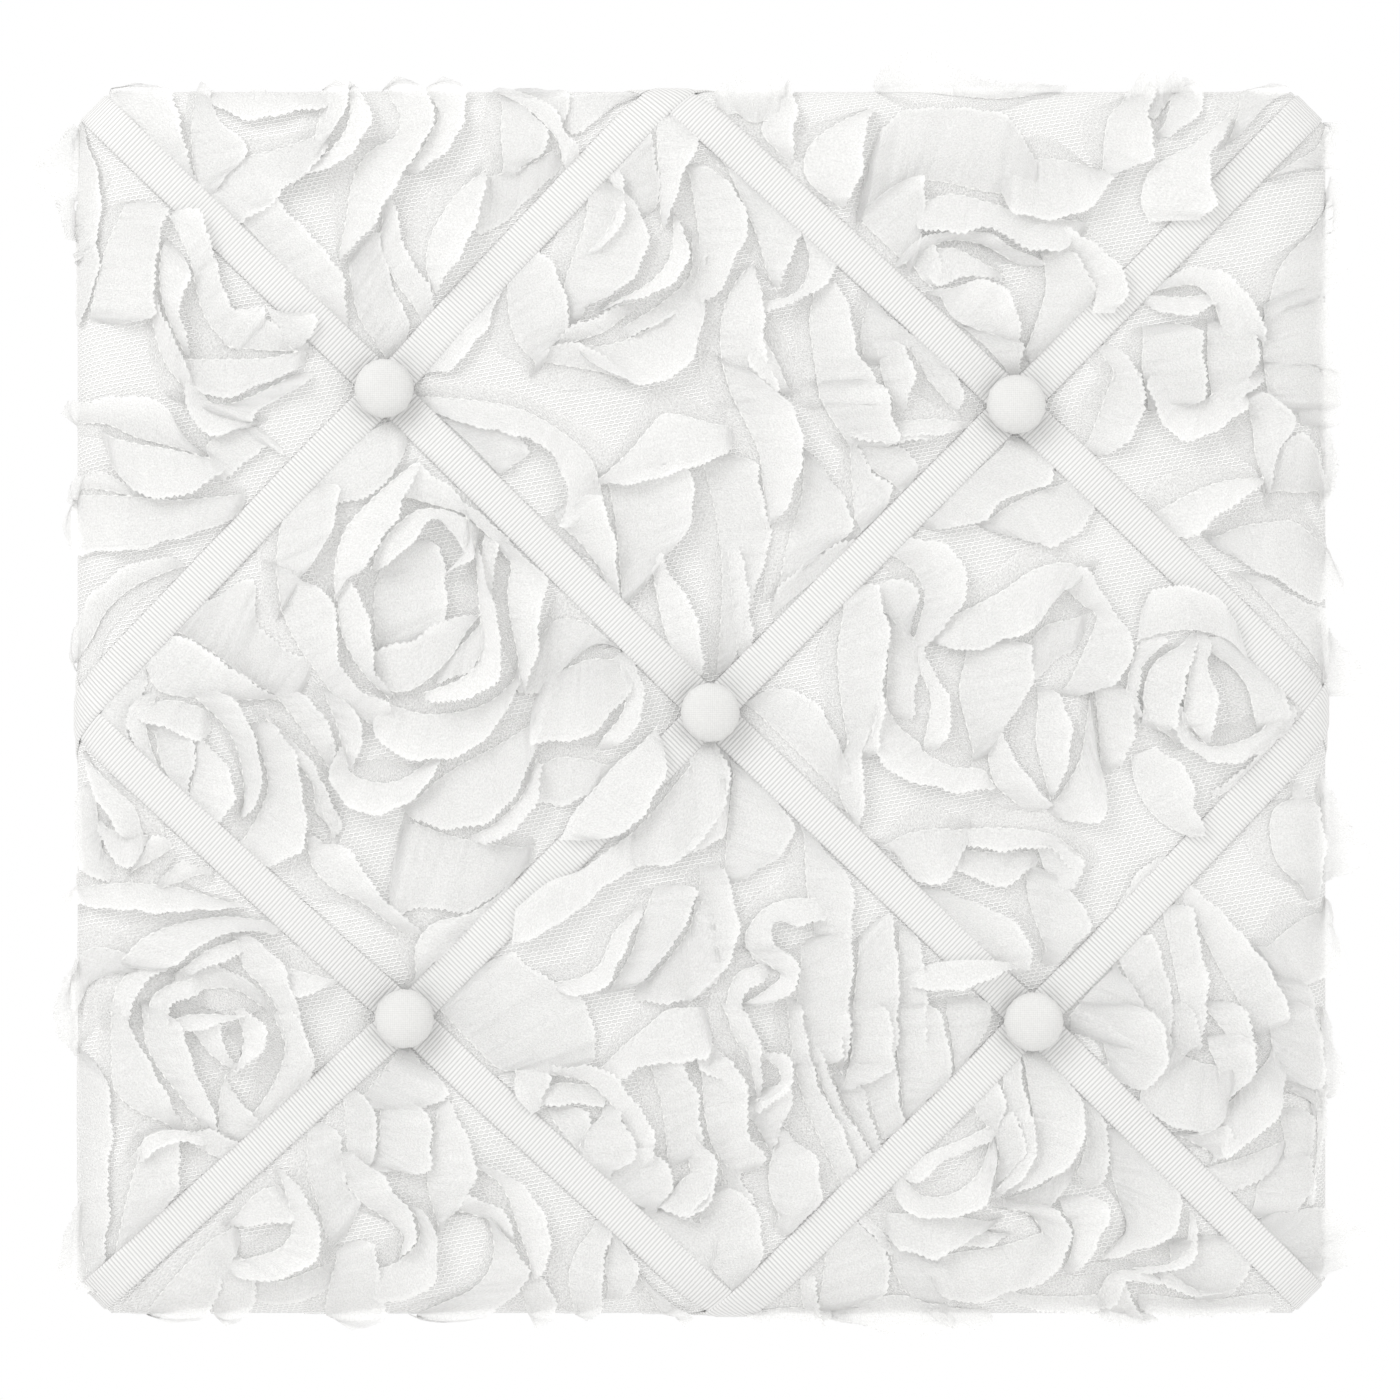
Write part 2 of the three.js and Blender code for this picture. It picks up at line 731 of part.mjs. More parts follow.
const shellRadius = buttonRadius - buttonClothThickness - buttonGap;
const shellSeat = buttonClothThickness + buttonGap;
const plateRadius = shellRadius - buttonShellThickness - buttonPlateRoom;

buttons.forEach((b) => {
  const seat = b.bed - ribbonGap - ribbonLift - ribbonThickness - seatGap;

  const clothInner = buttonRadius - buttonClothThickness;
  const hemTop = seat - buttonClothThickness;
  const hole = buttonRadius - buttonTurnUnder;
  const cloth = [
    ...domeProfile(buttonRadius, buttonRise, hemTop),
    [buttonRadius, seat],
    [hole, seat],
    [hole, hemTop],
    ...domeProfile(clothInner, buttonRise - buttonClothThickness, hemTop).reverse(),
  ];
  addPiece(`button_cloth_${b.name}`, turnedOnAxis(cloth, b, buttonSegments),
    materials.button);

  const shellRear = seat - shellSeat;
  const shellRise = buttonRise - shellSeat - buttonGap;
  const shell = [
    ...domeProfile(shellRadius, shellRise, shellRear),
    ...domeProfile(shellRadius - buttonShellThickness, shellRise - buttonShellThickness, shellRear)
      .reverse(),
  ];
  addPiece(`button_shell_${b.name}`, turnedOnAxis(shell, b, buttonSegments),
    materials.steel);

  const nailTip = panelRear - nailCover;
  const nailRadius = nailDiameter / 2;
  const nail = [
    [0, shellRear - buttonPlateThickness],
    [plateRadius, shellRear - buttonPlateThickness],
    [plateRadius, shellRear],
    [nailRadius, shellRear],
    [nailRadius, nailTip - nailPoint],
    [0, nailTip],
  ];
  addPiece(`button_nail_${b.name}`, turnedOnAxis(nail, b, nailSegments),
    materials.steel);
});

// Sawtooth hanger

function hangerGeometry() {
  const half = hangerLength / 2;
  const foot = half - hangerFoot;
  const bridge = foot - hangerSlope;
  const low = seatGap;
  const high = seatGap + hangerRise;
  const shape = new THREE.Shape([
    flat(-half, low), flat(-foot, low), flat(-bridge, high), flat(bridge, high),
    flat(foot, low), flat(half, low), flat(half, low + hangerMetal),
    flat(foot, low + hangerMetal), flat(bridge, high + hangerMetal),
    flat(-bridge, high + hangerMetal), flat(-foot, low + hangerMetal),
    flat(-half, low + hangerMetal),
  ]);
  const strip = new THREE.ExtrudeGeometry(shape, { depth: hangerHeight, bevelEnabled: false });
  strip.translate(0, 0, hangerZ - hangerHeight / 2);
  const bottom = hangerZ - hangerHeight / 2;
  const teeth = Math.floor((2 * bridge) / toothPitch);
  const notches = Array.from({ length: teeth }, (_, i) => {
    const x = (i - (teeth - 1) / 2) * toothPitch;
    const notch = new THREE.Shape([
      flat(x - toothPitch / 2, -overrun), flat(x + toothPitch / 2, -overrun), flat(x, toothDepth),
    ]);
    const cutter = new THREE.ExtrudeGeometry(notch, { depth: high + 2 * overrun, bevelEnabled: false });
    return cutter.rotateX(Math.PI / 2).translate(0, high + 2 * overrun, bottom);
  });
  return cutAway(strip, [...notches, ...tackHoles]);
}

addPiece("sawtooth_hanger", hangerGeometry(), materials.steel);

Object.entries(tackPlaces).forEach(([side, place]) => {
  const headRear = seatGap + hangerMetal + seatGap;
  const radius = tackDiameter / 2;
  const tip = panelRear - tackBite;
  const tack = [
    [0, tip],
    [radius, tip + radius],
    [radius, headRear],
    [tackHeadDiameter / 2, headRear],
    [tackHeadDiameter / 2 - tackHeadHeight / 2, headRear + tackHeadHeight],
    [0, headRear + tackHeadHeight],
  ];
  addPiece(`hanger_tack_${side}`, turnedOnAxis(tack, place, nailSegments), materials.steel);
});

// Chiffon roses

const ribbonLines = Object.values(ribbonPlans).flatMap((stops) =>
  stops.slice(1).map((stop, i) => [placeOf(stops[i]), placeOf(stop)]));

function distanceToLine(point, [a, b]) {
  const way = b.clone().sub(a);
  const share = Math.min(1, Math.max(0, point.clone().sub(a).dot(way) / way.lengthSq()));
  return point.distanceTo(a.clone().addScaledVector(way, share));
}

const roses = roseShares.map(([x, z, turns, hand, start]) =>
  ({ place: flat(x * halfWidth, z * halfHeight), turns, hand, start }));

// The largest radius that a rose has room for among ribbons, neighbours and the shoulder
function roseRoom(rose) {
  const toRibbon = Math.min(...ribbonLines.map((line) => distanceToLine(rose.place, line)));
  const toRose = Math.min(...roses.filter((r) => r !== rose)
    .map((r) => r.place.distanceTo(rose.place))) / 2;
  const toEdge = insetOf(rose.place.x, rose.place.y) - roseEdgeRoom;
  const room = Math.min(toRibbon - ribbonWidth / 2, toRose, toEdge);
  return room - roseClearance - stripLean - stripThickness / 2;
}

function roseGeometry(rose) {
  const room = roseRoom(rose);
  const turns = Math.min(rose.turns, (room - roseEyeRadius) / rosePitch);
  const count = Math.round(turns * stepsPerTurn);
  const wander = (t) => {
    const angle = 2 * Math.PI * (rose.start + rose.hand * turns * t);
    return { angle, radius: roseEyeRadius + (room - roseEyeRadius) * t };
  };
  const planAt = (t, shift) => {
    const { angle, radius } = wander(t);
    return [
      rose.place.x + (radius + shift) * Math.cos(angle),
      rose.place.y + (radius + shift) * Math.sin(angle),
    ];
  };
  const half = stripThickness / 2;
  const sections = Array.from({ length: count + 1 }, (_, i) => {
    const t = i / count;
    const nearby = [-0.5, 0, 0.5].flatMap((ahead) =>
      [-half, half].map((shift) => planAt(t + ahead / count, shift)));
    const base = frontMost(nearby) - seatGap;
    const ripple = rippleRise * Math.sin(2 * Math.PI * rippleTurns * t * turns);
    const ends = Math.sqrt(Math.sin(Math.PI * (roseEndShare + (1 - 2 * roseEndShare) * t)));
    const rise = (stripHeight - rippleRise + ripple) * ends;
    const corner = (shift, y) => {
      const [x, z] = planAt(t, shift);
      return new THREE.Vector3(x, y, z);
    };
    const low = corner(-half, base);
    const high = corner(half, base);
    const top = base - rise;
    const section = [low, high, corner(half + stripLean, top), corner(-half + stripLean, top)];
    return rose.hand > 0 ? section.reverse() : section;
  });
  const triangles = [];
  for (let i = 0; i + 1 < sections.length; i++) {
    for (let k = 0; k < 4; k++) {
      const next = (k + 1) % 4;
      triangles.push(...quad(sections[i][k], sections[i][next], sections[i + 1][next],
        sections[i + 1][k]));
    }
  }
  const last = sections[sections.length - 1];
  triangles.push(...quad(...[...sections[0]].reverse()), ...quad(...last));
  return geometryOf(triangles);
}

roses.forEach((rose, i) => {
  const number = String(i + 1).padStart(2, "0");
  addPiece(`chiffon_rose_${number}`, roseGeometry(rose), materials.chiffon);
});

export default memoBoard;
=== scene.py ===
"""The looks of a French memo board: a padded panel in net and chiffon roses, with grosgrain ribbons."""
import math

import bpy
import bmesh
import numpy as np
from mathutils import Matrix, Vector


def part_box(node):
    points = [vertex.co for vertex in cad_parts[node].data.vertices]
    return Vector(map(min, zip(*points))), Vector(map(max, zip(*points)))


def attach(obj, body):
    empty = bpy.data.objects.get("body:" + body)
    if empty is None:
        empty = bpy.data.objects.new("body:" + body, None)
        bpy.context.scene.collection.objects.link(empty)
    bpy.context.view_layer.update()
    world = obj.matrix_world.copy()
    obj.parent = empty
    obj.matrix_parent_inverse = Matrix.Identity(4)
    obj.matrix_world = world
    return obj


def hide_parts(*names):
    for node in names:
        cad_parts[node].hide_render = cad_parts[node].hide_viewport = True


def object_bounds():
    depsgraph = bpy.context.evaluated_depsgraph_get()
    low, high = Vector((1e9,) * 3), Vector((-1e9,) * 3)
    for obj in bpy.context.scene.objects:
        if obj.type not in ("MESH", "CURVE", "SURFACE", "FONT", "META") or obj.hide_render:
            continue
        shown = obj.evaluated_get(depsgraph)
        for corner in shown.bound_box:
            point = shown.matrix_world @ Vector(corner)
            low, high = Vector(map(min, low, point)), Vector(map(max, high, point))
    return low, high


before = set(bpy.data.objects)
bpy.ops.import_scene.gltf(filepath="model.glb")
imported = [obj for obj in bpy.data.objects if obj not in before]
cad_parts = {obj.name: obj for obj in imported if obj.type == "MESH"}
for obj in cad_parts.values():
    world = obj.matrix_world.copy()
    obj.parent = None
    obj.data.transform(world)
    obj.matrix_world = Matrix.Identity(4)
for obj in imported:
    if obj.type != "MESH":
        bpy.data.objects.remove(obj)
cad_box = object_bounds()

# Sizes of the board are in millimetres. Those of materials, lights and floor are in metres.
MM = 0.001

# The photograph: its side and the board's middle in pixels, and the size of one pixel at the board
PHOTO_SIDE = 1400
PHOTO_MIDDLE = (701.5, 702.5)
PIXEL = 0.2646

# Sizes of the padded form, as in the part's source
CORNER_CUT = 9
ROUND_DEPTH = 9
CROWN_RISE = 2.4
TUFT_DEPTH = 5
TUFT_SPREAD = 17
PAD_DEPTH = 19
BACK_RADIUS = 2
HEM_WIDTH = 28
COVER_THICKNESS = 0.8

# The gap between cover and foam, and the steps between the points of the two forms
FOAM_GAP = 0.3
COVER_SPACING = 1.5
FOAM_SPACING = 4.0

# How deep and how wide the cover sinks under a taut ribbon
GROOVE_DEPTH = 0.3
GROOVE_SPREAD = 8

# Ribbons: their section, ribs and tails
RIBBON_WIDTH = 9.5
RIBBON_THICKNESS = 0.35
RIB_PITCH = 1.0
RIB_HEIGHT = 0.2
RIB_STEPS = 5
TAIL_REACH = 22
STAPLE_INSET = 14

# A ribbon's gap from the cloth: in the middle, at an edge, and how far in from there it eases
RIBBON_CLEAR = 0.25
EDGE_CLEAR = 0.06
END_EASE = 12

# How high a ribbon rises over another, how far on each side of it, and the way down again
CROSS_LIFT = 0.48
CROSS_REACH = 4.9
CROSS_RAMP = 2.6

# How far a ribbon takes to turn at a button, and over how far its level is evened out
TURN_REACH = 7.0
LEVEL_REACH = 5.0

# How far outside the outline two ribbons meet, with the rounding laid flat
MEETING_OUT = -0.3

# How long before the side a tail starts to be drawn over, and what the bend behind adds to its way
DRAW_START = 4
BEND_EXTRA = 1

# Covered buttons: the turned-in rim, and the pleats of the cloth there
BUTTON_TURNS = 96
BUTTON_LIP = 0.6
BUTTON_FOOT = 2.0
PLEATS = 16
PLEAT_DEPTH = 0.07

# Chiffon: steps along and across a petal, and across the layer under it
CHIFFON_STEP = 0.34
CHIFFON_ROW = 1.2
TUCK_ROW = 1.6

# Limits of the random pitch and depth of the teeth, curl of the edge and level of the under layer
PINK_PITCH = (1.4, 1.9)
PINK_DEPTH = (0.5, 0.85)
CURL = (-0.7, 0.9)
TUCK_LEVEL = (0.2, 0.5)

# How far a petal runs on past its ends and behind its seam, and its mean width over its strip's
RUN_ON = 4.0
TUCK = 5.0

# Heights of a petal: the share of the traced ones, the least, its arch, its gathers and its ripples
RISE = 0.85
LEAST_HEIGHT = 0.4
ARCH_SHARE = 0.06
GATHER_PITCH = 3.4
GATHER_HEIGHT = 0.18
RIPPLE = 0.8
FINE_RIPPLE = 0.25

# How far a free edge strays from its traced line
EDGE_WANDER = 0.8

# Petals by a ribbon: the room under it, how that grows beside it, and the height of one over it
UNDER_RIBBON = 0.4
RIBBON_SLOPE = 1.3
OVER_RIBBON = 2.0

# Free edges that reach past this inset keep the level that the face has there
EDGE_INSET = 3.0

# Stitches that tack the chiffon down
STITCH_PITCH = 3.2
STITCH_LENGTH = 1.5
STITCH_THICKNESS = 0.3
STITCH_RISE = 0.35

# Back sheet: its size, and how it is cut and laid
FELT_THICKNESS = 1.2
FELT_INSET = 9
FELT_EASE = 0.6
FELT_LAID = 14
FELT_STEP = 3.0
FELT_WANDER = 0.0012
FELT_WAVES = 0.1

# How much the felt is held off by a tail, how far beside it, and how far round a staple
TAIL_LUMP = 0.45
TAIL_SLOPE = 4
STAPLE_LUMP = (3, 6.5)

cover_low, cover_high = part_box("net_cover")
HALF_X = (cover_high[0] - cover_low[0]) / 2 / MM
HALF_Z = (cover_high[2] - cover_low[2]) / 2 / MM
MIDDLE_X = (cover_high[0] + cover_low[0]) / 2
MIDDLE_Z = (cover_high[2] + cover_low[2]) / 2
BACK_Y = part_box("back_sheet")[1][1]
HEM_REAR = (cover_high[1] - BACK_Y) / MM
SHOULDER = HEM_REAR - PAD_DEPTH
ROUND_START = SHOULDER + ROUND_DEPTH
ROUND_INSET = CORNER_CUT / (2 - math.sqrt(2))
button_low, button_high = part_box("button_cloth_middle")
BUTTON_RADIUS = (button_high[0] - button_low[0]) / 2 / MM


def board_place(low, high):
    """The middle of a box of the frame, across and up from the board's middle in millimetres."""
    return np.array([
        ((low[0] + high[0]) / 2 - MIDDLE_X) / MM,
        ((low[2] + high[2]) / 2 - MIDDLE_Z) / MM,
    ])


def from_photo(points):
    """Photograph pixels as places on the board, in millimetres from its middle."""
    points = np.reshape(points, (-1, 2)).astype(float)
    return np.stack([
        (points[:, 0] - PHOTO_MIDDLE[0]) * PIXEL,
        (PHOTO_MIDDLE[1] - points[:, 1]) * PIXEL,
    ], axis=1)


BUTTONS = {
    name: board_place(*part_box(f"button_cloth_{name}"))
    for name in ("upper_left", "upper_right", "middle", "lower_left", "lower_right")
}


# Meshes

def in_frame(points):
    """Places in the shared frame of points in millimetres from the board's middle and the wall."""
    return (np.asarray(points, float) * MM + np.array([MIDDLE_X, BACK_Y, MIDDLE_Z])).tolist()


def placed(name, data):
    """A new object in the scene."""
    obj = bpy.data.objects.new(name, data)
    bpy.context.scene.collection.objects.link(obj)
    return obj


def new_object(name, points, faces, material, uv=None):
    """A smooth object whose points are in millimetres from the board's middle and the wall."""
    mesh = bpy.data.meshes.new(name)
    mesh.from_pydata(in_frame(points), [], faces)
    mesh.update()
    if uv is not None:
        layer = mesh.uv_layers.new(name="weave")
        corner = np.empty(len(mesh.loops), dtype=np.int64)
        mesh.loops.foreach_get("vertex_index", corner)
        layer.data.foreach_set("uv", np.asarray(uv, float)[corner].ravel())
    mesh.polygons.foreach_set("use_smooth", [True] * len(mesh.polygons))
    mesh.materials.append(material)
    return placed(name, mesh)


def stand_in(piece, node):
    """Has a piece ride on the board in place of a node, which is hidden."""
    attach(piece, "root")
    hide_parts(node)


def grid_faces(rows, columns, start=0, closed=False):
    """Quads over a grid of points, row by row. A closed grid joins its last column to its first."""
    first = np.arange(rows * columns).reshape(rows, columns)
    after = np.roll(first, -1, axis=1)
    wide = columns if closed else columns - 1
    quads = np.stack([first[:-1, :wide], after[:-1, :wide], after[1:, :wide], first[1:, :wide]], axis=-1)
    return (quads.reshape(-1, 4) + start).tolist()


def walk_of(points):
    """How far along a line of points each one is."""
    return np.concatenate([[0], np.cumsum(np.linalg.norm(np.diff(points, axis=0), axis=1))])


def length_of(points):
    return float(np.sum(np.linalg.norm(np.diff(points, axis=0), axis=1)))


def curve_through(points, count):
    """Evenly spaced points on a smooth curve through the given ones."""
    points = np.asarray(points, float)
    if len(points) == 2:
        return points[0] + np.linspace(0, 1, count)[:, None] * (points[1] - points[0])
    ends = [2 * points[0] - points[1], *points, 2 * points[-1] - points[-2]]
    fine = []
    t = np.linspace(0, 1, 40, endpoint=False)[:, None]
    for a, b, c, d in zip(ends, ends[1:], ends[2:], ends[3:]):
        fine.append(0.5 * (2 * b + (c - a) * t + (2 * a - 5 * b + 4 * c - d) * t**2
                           + (3 * b - a - 3 * c + d) * t**3))
    fine = np.concatenate([*fine, points[-1:]])
    walked = walk_of(fine)
    wanted = np.linspace(0, walked[-1], count)
    return np.stack([np.interp(wanted, walked, fine[:, k]) for k in range(fine.shape[1])], axis=1)


def ramp(value, start, end):
    """From 0 at start to 1 at end, smoothly."""
    t = np.clip((value - start) / (end - start), 0, 1)
    return t * t * (3 - 2 * t)


# The ribbons' routes over the face. Two of them meet this far up or across from an edge's middle.

LEFT_END = -3.0
TOP_END = -8.6
RIGHT_END = -2.5
BOTTOM_END = 8.2
HALF_CUT = CORNER_CUT / 2

EDGES = {
    "left": ((-HALF_X, LEFT_END), (1, 0)),
    "right": ((HALF_X, RIGHT_END), (-1, 0)),
    "top": ((TOP_END, HALF_Z), (0, -1)),
    "bottom": ((BOTTOM_END, -HALF_Z), (0, 1)),
    "top_left": ((HALF_CUT - HALF_X, HALF_Z - HALF_CUT), (math.sqrt(0.5), -math.sqrt(0.5))),
    "top_right": ((HALF_X - HALF_CUT, HALF_Z - HALF_CUT), (-math.sqrt(0.5), -math.sqrt(0.5))),
    "bottom_left": ((HALF_CUT - HALF_X, HALF_CUT - HALF_Z), (math.sqrt(0.5), math.sqrt(0.5))),
    "bottom_right": ((HALF_X - HALF_CUT, HALF_CUT - HALF_Z), (-math.sqrt(0.5), math.sqrt(0.5))),
}

RIBBONS = {
    "ribbon_falling_diagonal": ["top_left", "upper_left", "middle", "lower_right", "bottom_right"],
    "ribbon_rising_diagonal": ["bottom_left", "lower_left", "middle", "upper_right", "top_right"],
    "ribbon_upper_left": ["left", "upper_left", "top"],
    "ribbon_upper_right": ["top", "upper_right", "right"],
    "ribbon_lower_left": ["left", "lower_left", "bottom"],
    "ribbon_lower_right": ["bottom", "lower_right", "right"],
}

PASSES_OVER = {
    "ribbon_rising_diagonal": ["middle"],
    "ribbon_upper_left": ["left", "upper_left", "top"],
    "ribbon_upper_right": ["upper_right"],
    "ribbon_lower_left": ["lower_left"],
    "ribbon_lower_right": ["bottom", "lower_right", "right"],
}

QUARTER = np.linspace(0, math.pi / 2, 41)
ROUND_CURVE = np.stack([ROUND_INSET * (1 - np.sin(QUARTER)), -ROUND_DEPTH * np.cos(QUARTER)], axis=1)
ROUND_WALK = walk_of(ROUND_CURVE)
ROUND_LENGTH = ROUND_WALK[-1]
SIDE_LENGTH = HEM_REAR - BACK_RADIUS - ROUND_START
PAST_MEETING = ROUND_LENGTH - ROUND_INSET - MEETING_OUT
BEHIND = PAST_MEETING + SIDE_LENGTH + BACK_RADIUS * (math.pi / 2 - 1)
STAPLES = np.array([board_place(*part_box(name)) for name in sorted(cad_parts)
                    if name.startswith("ribbon_staple")])


def aim_of(stop):
    """Where a ribbon heads for: a button, or its meeting place at an edge, with the rounding laid flat."""
    if stop in BUTTONS:
        return BUTTONS[stop]
    point, inward = np.array(EDGES[stop])
    return point - inward * MEETING_OUT


def tail_of(stop, way):
    """A tail's edge, its slope along that edge, and how far it is drawn over to its staple."""
    point, inward = np.array(EDGES[stop])
    tangent = np.array([-inward[1], inward[0]])
    slope = -(way @ tangent) / (way @ inward)
    inset, beside = (STAPLES - point) @ inward, (STAPLES - point) @ tangent
    tug = (beside - slope * (BEHIND + inset))[(inset > 0) & (inset < TAIL_REACH)]
    return point, inward, tangent, slope, tug[np.argmin(np.abs(tug))]


ROUTES = {name: np.array([aim_of(stop) for stop in stops]) for name, stops in RIBBONS.items()}


def ribbon_distance(x, z):
    """How far places are from the nearest ribbon's middle line."""
    near = np.full(np.shape(x), 1e3)
    for route in ROUTES.values():
        for a, b in zip(route, route[1:]):
            way = b - a
            t = ((x - a[0]) * way[0] + (z - a[1]) * way[1]) / (way @ way)
            t = np.clip(t, 0, 1)
            near = np.minimum(near, np.hypot(x - a[0] - t * way[0], z - a[1] - t * way[1]))
    return near


# The padded form

def face_rise(x, z):
    """How far the face stands proud of its shoulder: crowned, pulled in at buttons and ribbons."""
    crown = CROWN_RISE * (1 - (x / HALF_X) ** 4) * (1 - (z / HALF_Z) ** 4)
    pull = sum(TUFT_DEPTH * np.exp(-((x - b[0]) ** 2 + (z - b[1]) ** 2) / TUFT_SPREAD**2)
               for b in BUTTONS.values())
    return crown - pull


def groove(x, z):
    return GROOVE_DEPTH * np.exp(-(ribbon_distance(x, z) / GROOVE_SPREAD) ** 2)


def inset_at(x, z):
    side = np.minimum(HALF_X - np.abs(x), HALF_Z - np.abs(z))
    cut = (HALF_X + HALF_Z - CORNER_CUT - np.abs(x) - np.abs(z)) / math.sqrt(2)
    return np.minimum(side, cut)


def face_level(x, z, least_inset=0.0):
    """The level of the cover's face, counted from the wall side of the back sheet."""
    inset = np.clip(inset_at(x, z), least_inset, ROUND_INSET)
    out = (ROUND_INSET - inset) / ROUND_INSET
    return ROUND_START - ROUND_DEPTH * np.sqrt(1 - out**2) - face_rise(x, z)


def padded_form(name, material, depth, spacing):
    """The closed padded form, set in by depth from the outer face of the cover."""
    face_x, face_z = HALF_X - ROUND_INSET, HALF_Z - ROUND_INSET
    across, along = [np.linspace(-1, 1, int(round(2 * half / spacing)) + 1) for half in (face_x, face_z)]

    def ring(inset):
        """Places round the form at an inset from its outline, seen from the front."""
        leg = max(0.0, CORNER_CUT - inset * (2 - math.sqrt(2)))
        out_x, out_z = HALF_X - inset, HALF_Z - inset
        side_x, side_z = out_x - leg, out_z - leg
        return np.concatenate([
            np.stack([across * side_x, np.full(len(across), -out_z)], axis=1),
            np.stack([np.full(len(along), out_x), along * side_z], axis=1),
            np.stack([-across * side_x, np.full(len(across), out_z)], axis=1),
            np.stack([np.full(len(along), -out_x), -along * side_z], axis=1),
        ])

    # Rings from the face round the edge to the hem: inset, level, and whether the face's rise counts
    stops = []
    for angle in np.linspace(0, math.pi / 2, 13):
        inset = ROUND_INSET - (ROUND_INSET - depth) * math.sin(angle)
        stops.append((inset, ROUND_START - (ROUND_DEPTH - depth) * math.cos(angle), angle < math.pi / 2))
    rear = HEM_REAR - depth
    for share in np.linspace(0, 1, 6)[1:]:
        stops.append((depth, ROUND_START + share * (rear - BACK_RADIUS - ROUND_START), False))
    for angle in np.linspace(0, math.pi / 2, 5)[1:]:
        stops.append((depth + BACK_RADIUS * (1 - math.cos(angle)),
                      rear - BACK_RADIUS * (1 - math.sin(angle)), False))
    for share in np.linspace(0, 1, 6)[1:]:
        stops.append((depth + BACK_RADIUS + share * (HEM_WIDTH - depth - BACK_RADIUS), rear, False))

    rows, flat = [], []
    walked = 0.0
    before = stops[0]
    for inset, level, raised in stops:
        walked += math.hypot(inset - before[0], level - before[1])
        before = (inset, level)
        x, z = ring(inset).T
        rise = face_rise(x, z) - groove(x, z) if raised else 0
        rows.append(np.stack([x, level - rise + 0 * x, z], axis=1))
        flat.append(ring(ROUND_INSET - walked))
    ring_size = len(rows[0])
    points = np.concatenate(rows)
    uv = np.concatenate(flat)
    faces = grid_faces(len(rows), ring_size, closed=True)
    faces.append(list(range(len(points) - ring_size, len(points)))[::-1])

    grid_x, grid_z = np.meshgrid(across * face_x, along * face_z)
    level = SHOULDER + depth - face_rise(grid_x, grid_z) + groove(grid_x, grid_z)
    inner = np.stack([grid_x, level, grid_z], axis=-1).reshape(-1, 3)
    faces += grid_faces(len(along), len(across), start=len(points))
    points = np.concatenate([points, inner])
    uv = np.concatenate([uv, inner[:, [0, 2]]])
    form = new_object(name, points, faces, material, uv=uv * MM)
    close_seams(form)
    return form


def close_seams(obj):
    """Joins points that lie on each other, and turns every face outwards."""
    bm = bmesh.new()
    bm.from_mesh(obj.data)
    bmesh.ops.remove_doubles(bm, verts=bm.verts, dist=1e-6)
    bmesh.ops.recalc_face_normals(bm, faces=bm.faces)
    bm.to_mesh(obj.data)
    bm.free()


# Node trees

class Nodes:
    """Short calls that add nodes to a tree and link them."""

    def __init__(self, tree):
        self.tree = tree

    def add(self, kind, inputs=None, **settings):
        """A new node, with values or links for the inputs that are named."""
        node = self.tree.nodes.new(kind)
        for key, value in settings.items():
            setattr(node, key, value)
        for label, value in (inputs or {}).items():
            self.feed([node.inputs[label]], [value])
        return node

    def link(self, source, target):
        self.tree.links.new(source, target)

    def feed(self, sockets, values):
        """Links each value that is an output to its socket, and sets the socket to one that isn't."""
        for socket, value in zip(sockets, values):
            if hasattr(value, "is_linked"):
                self.link(value, socket)
            else:
                socket.default_value = value

    def math(self, operation, *values):
        node = self.add("ShaderNodeMath", operation=operation)
        self.feed(node.inputs, values)
        return node.outputs[0]

    def mix(self, factor, *colours):
        """A mix of two colours, each an output or red, green and blue."""
        node = self.add("ShaderNodeMix", data_type="RGBA")
        colours = [c if hasattr(c, "is_linked") else (*c, 1) for c in colours]
        self.feed((node.inputs[0], *node.inputs[6:8]), (factor, *colours))
        return node.outputs[2]

    def mix_shader(self, factor, first, second):
        node = self.add("ShaderNodeMixShader")
        self.feed(node.inputs, (factor, first, second))
        return node.outputs[0]

    def map_range(self, value, start, end, to=(0.0, 1.0), **settings):
        node = self.add("ShaderNodeMapRange", **settings)
        self.feed(node.inputs[:5], (value, start, end, *to))
        return node.outputs[0]

    def split(self, vector):
        """The first two parts of a vector."""
        return self.add("ShaderNodeSeparateXYZ", {"Vector": vector}).outputs[:2]

    def noise(self, vector, scale, detail=2.0, roughness=0.5):
        inputs = {"Vector": vector, "Scale": scale, "Detail": detail, "Roughness": roughness}
        return self.add("ShaderNodeTexNoise", inputs).outputs["Fac"]

    def bump(self, height, distance, strength):
        inputs = {"Height": height, "Distance": distance, "Strength": strength}
        return self.add("ShaderNodeBump", inputs).outputs["Normal"]

    def uv(self):
        return self.add("ShaderNodeUVMap", uv_map="weave").outputs["UV"]

    def object_place(self):
        return self.add("ShaderNodeTexCoord").outputs["Object"]


def sized_tree(name, sizes):
    """A Geometry Nodes tree with geometry in and out and a named input for each size, in metres."""
    tree = bpy.data.node_groups.new(name, "GeometryNodeTree")
    tree.interface.new_socket("Geometry", in_out="INPUT", socket_type="NodeSocketGeometry")
    tree.interface.new_socket("Geometry", in_out="OUTPUT", socket_type="NodeSocketGeometry")
    for label, size in sizes.items():
        socket = tree.interface.new_socket(label, in_out="INPUT", socket_type="NodeSocketFloat")
        socket.default_value = size
    nodes = Nodes(tree)
    return nodes, nodes.add("NodeGroupInput"), nodes.add("NodeGroupOutput")


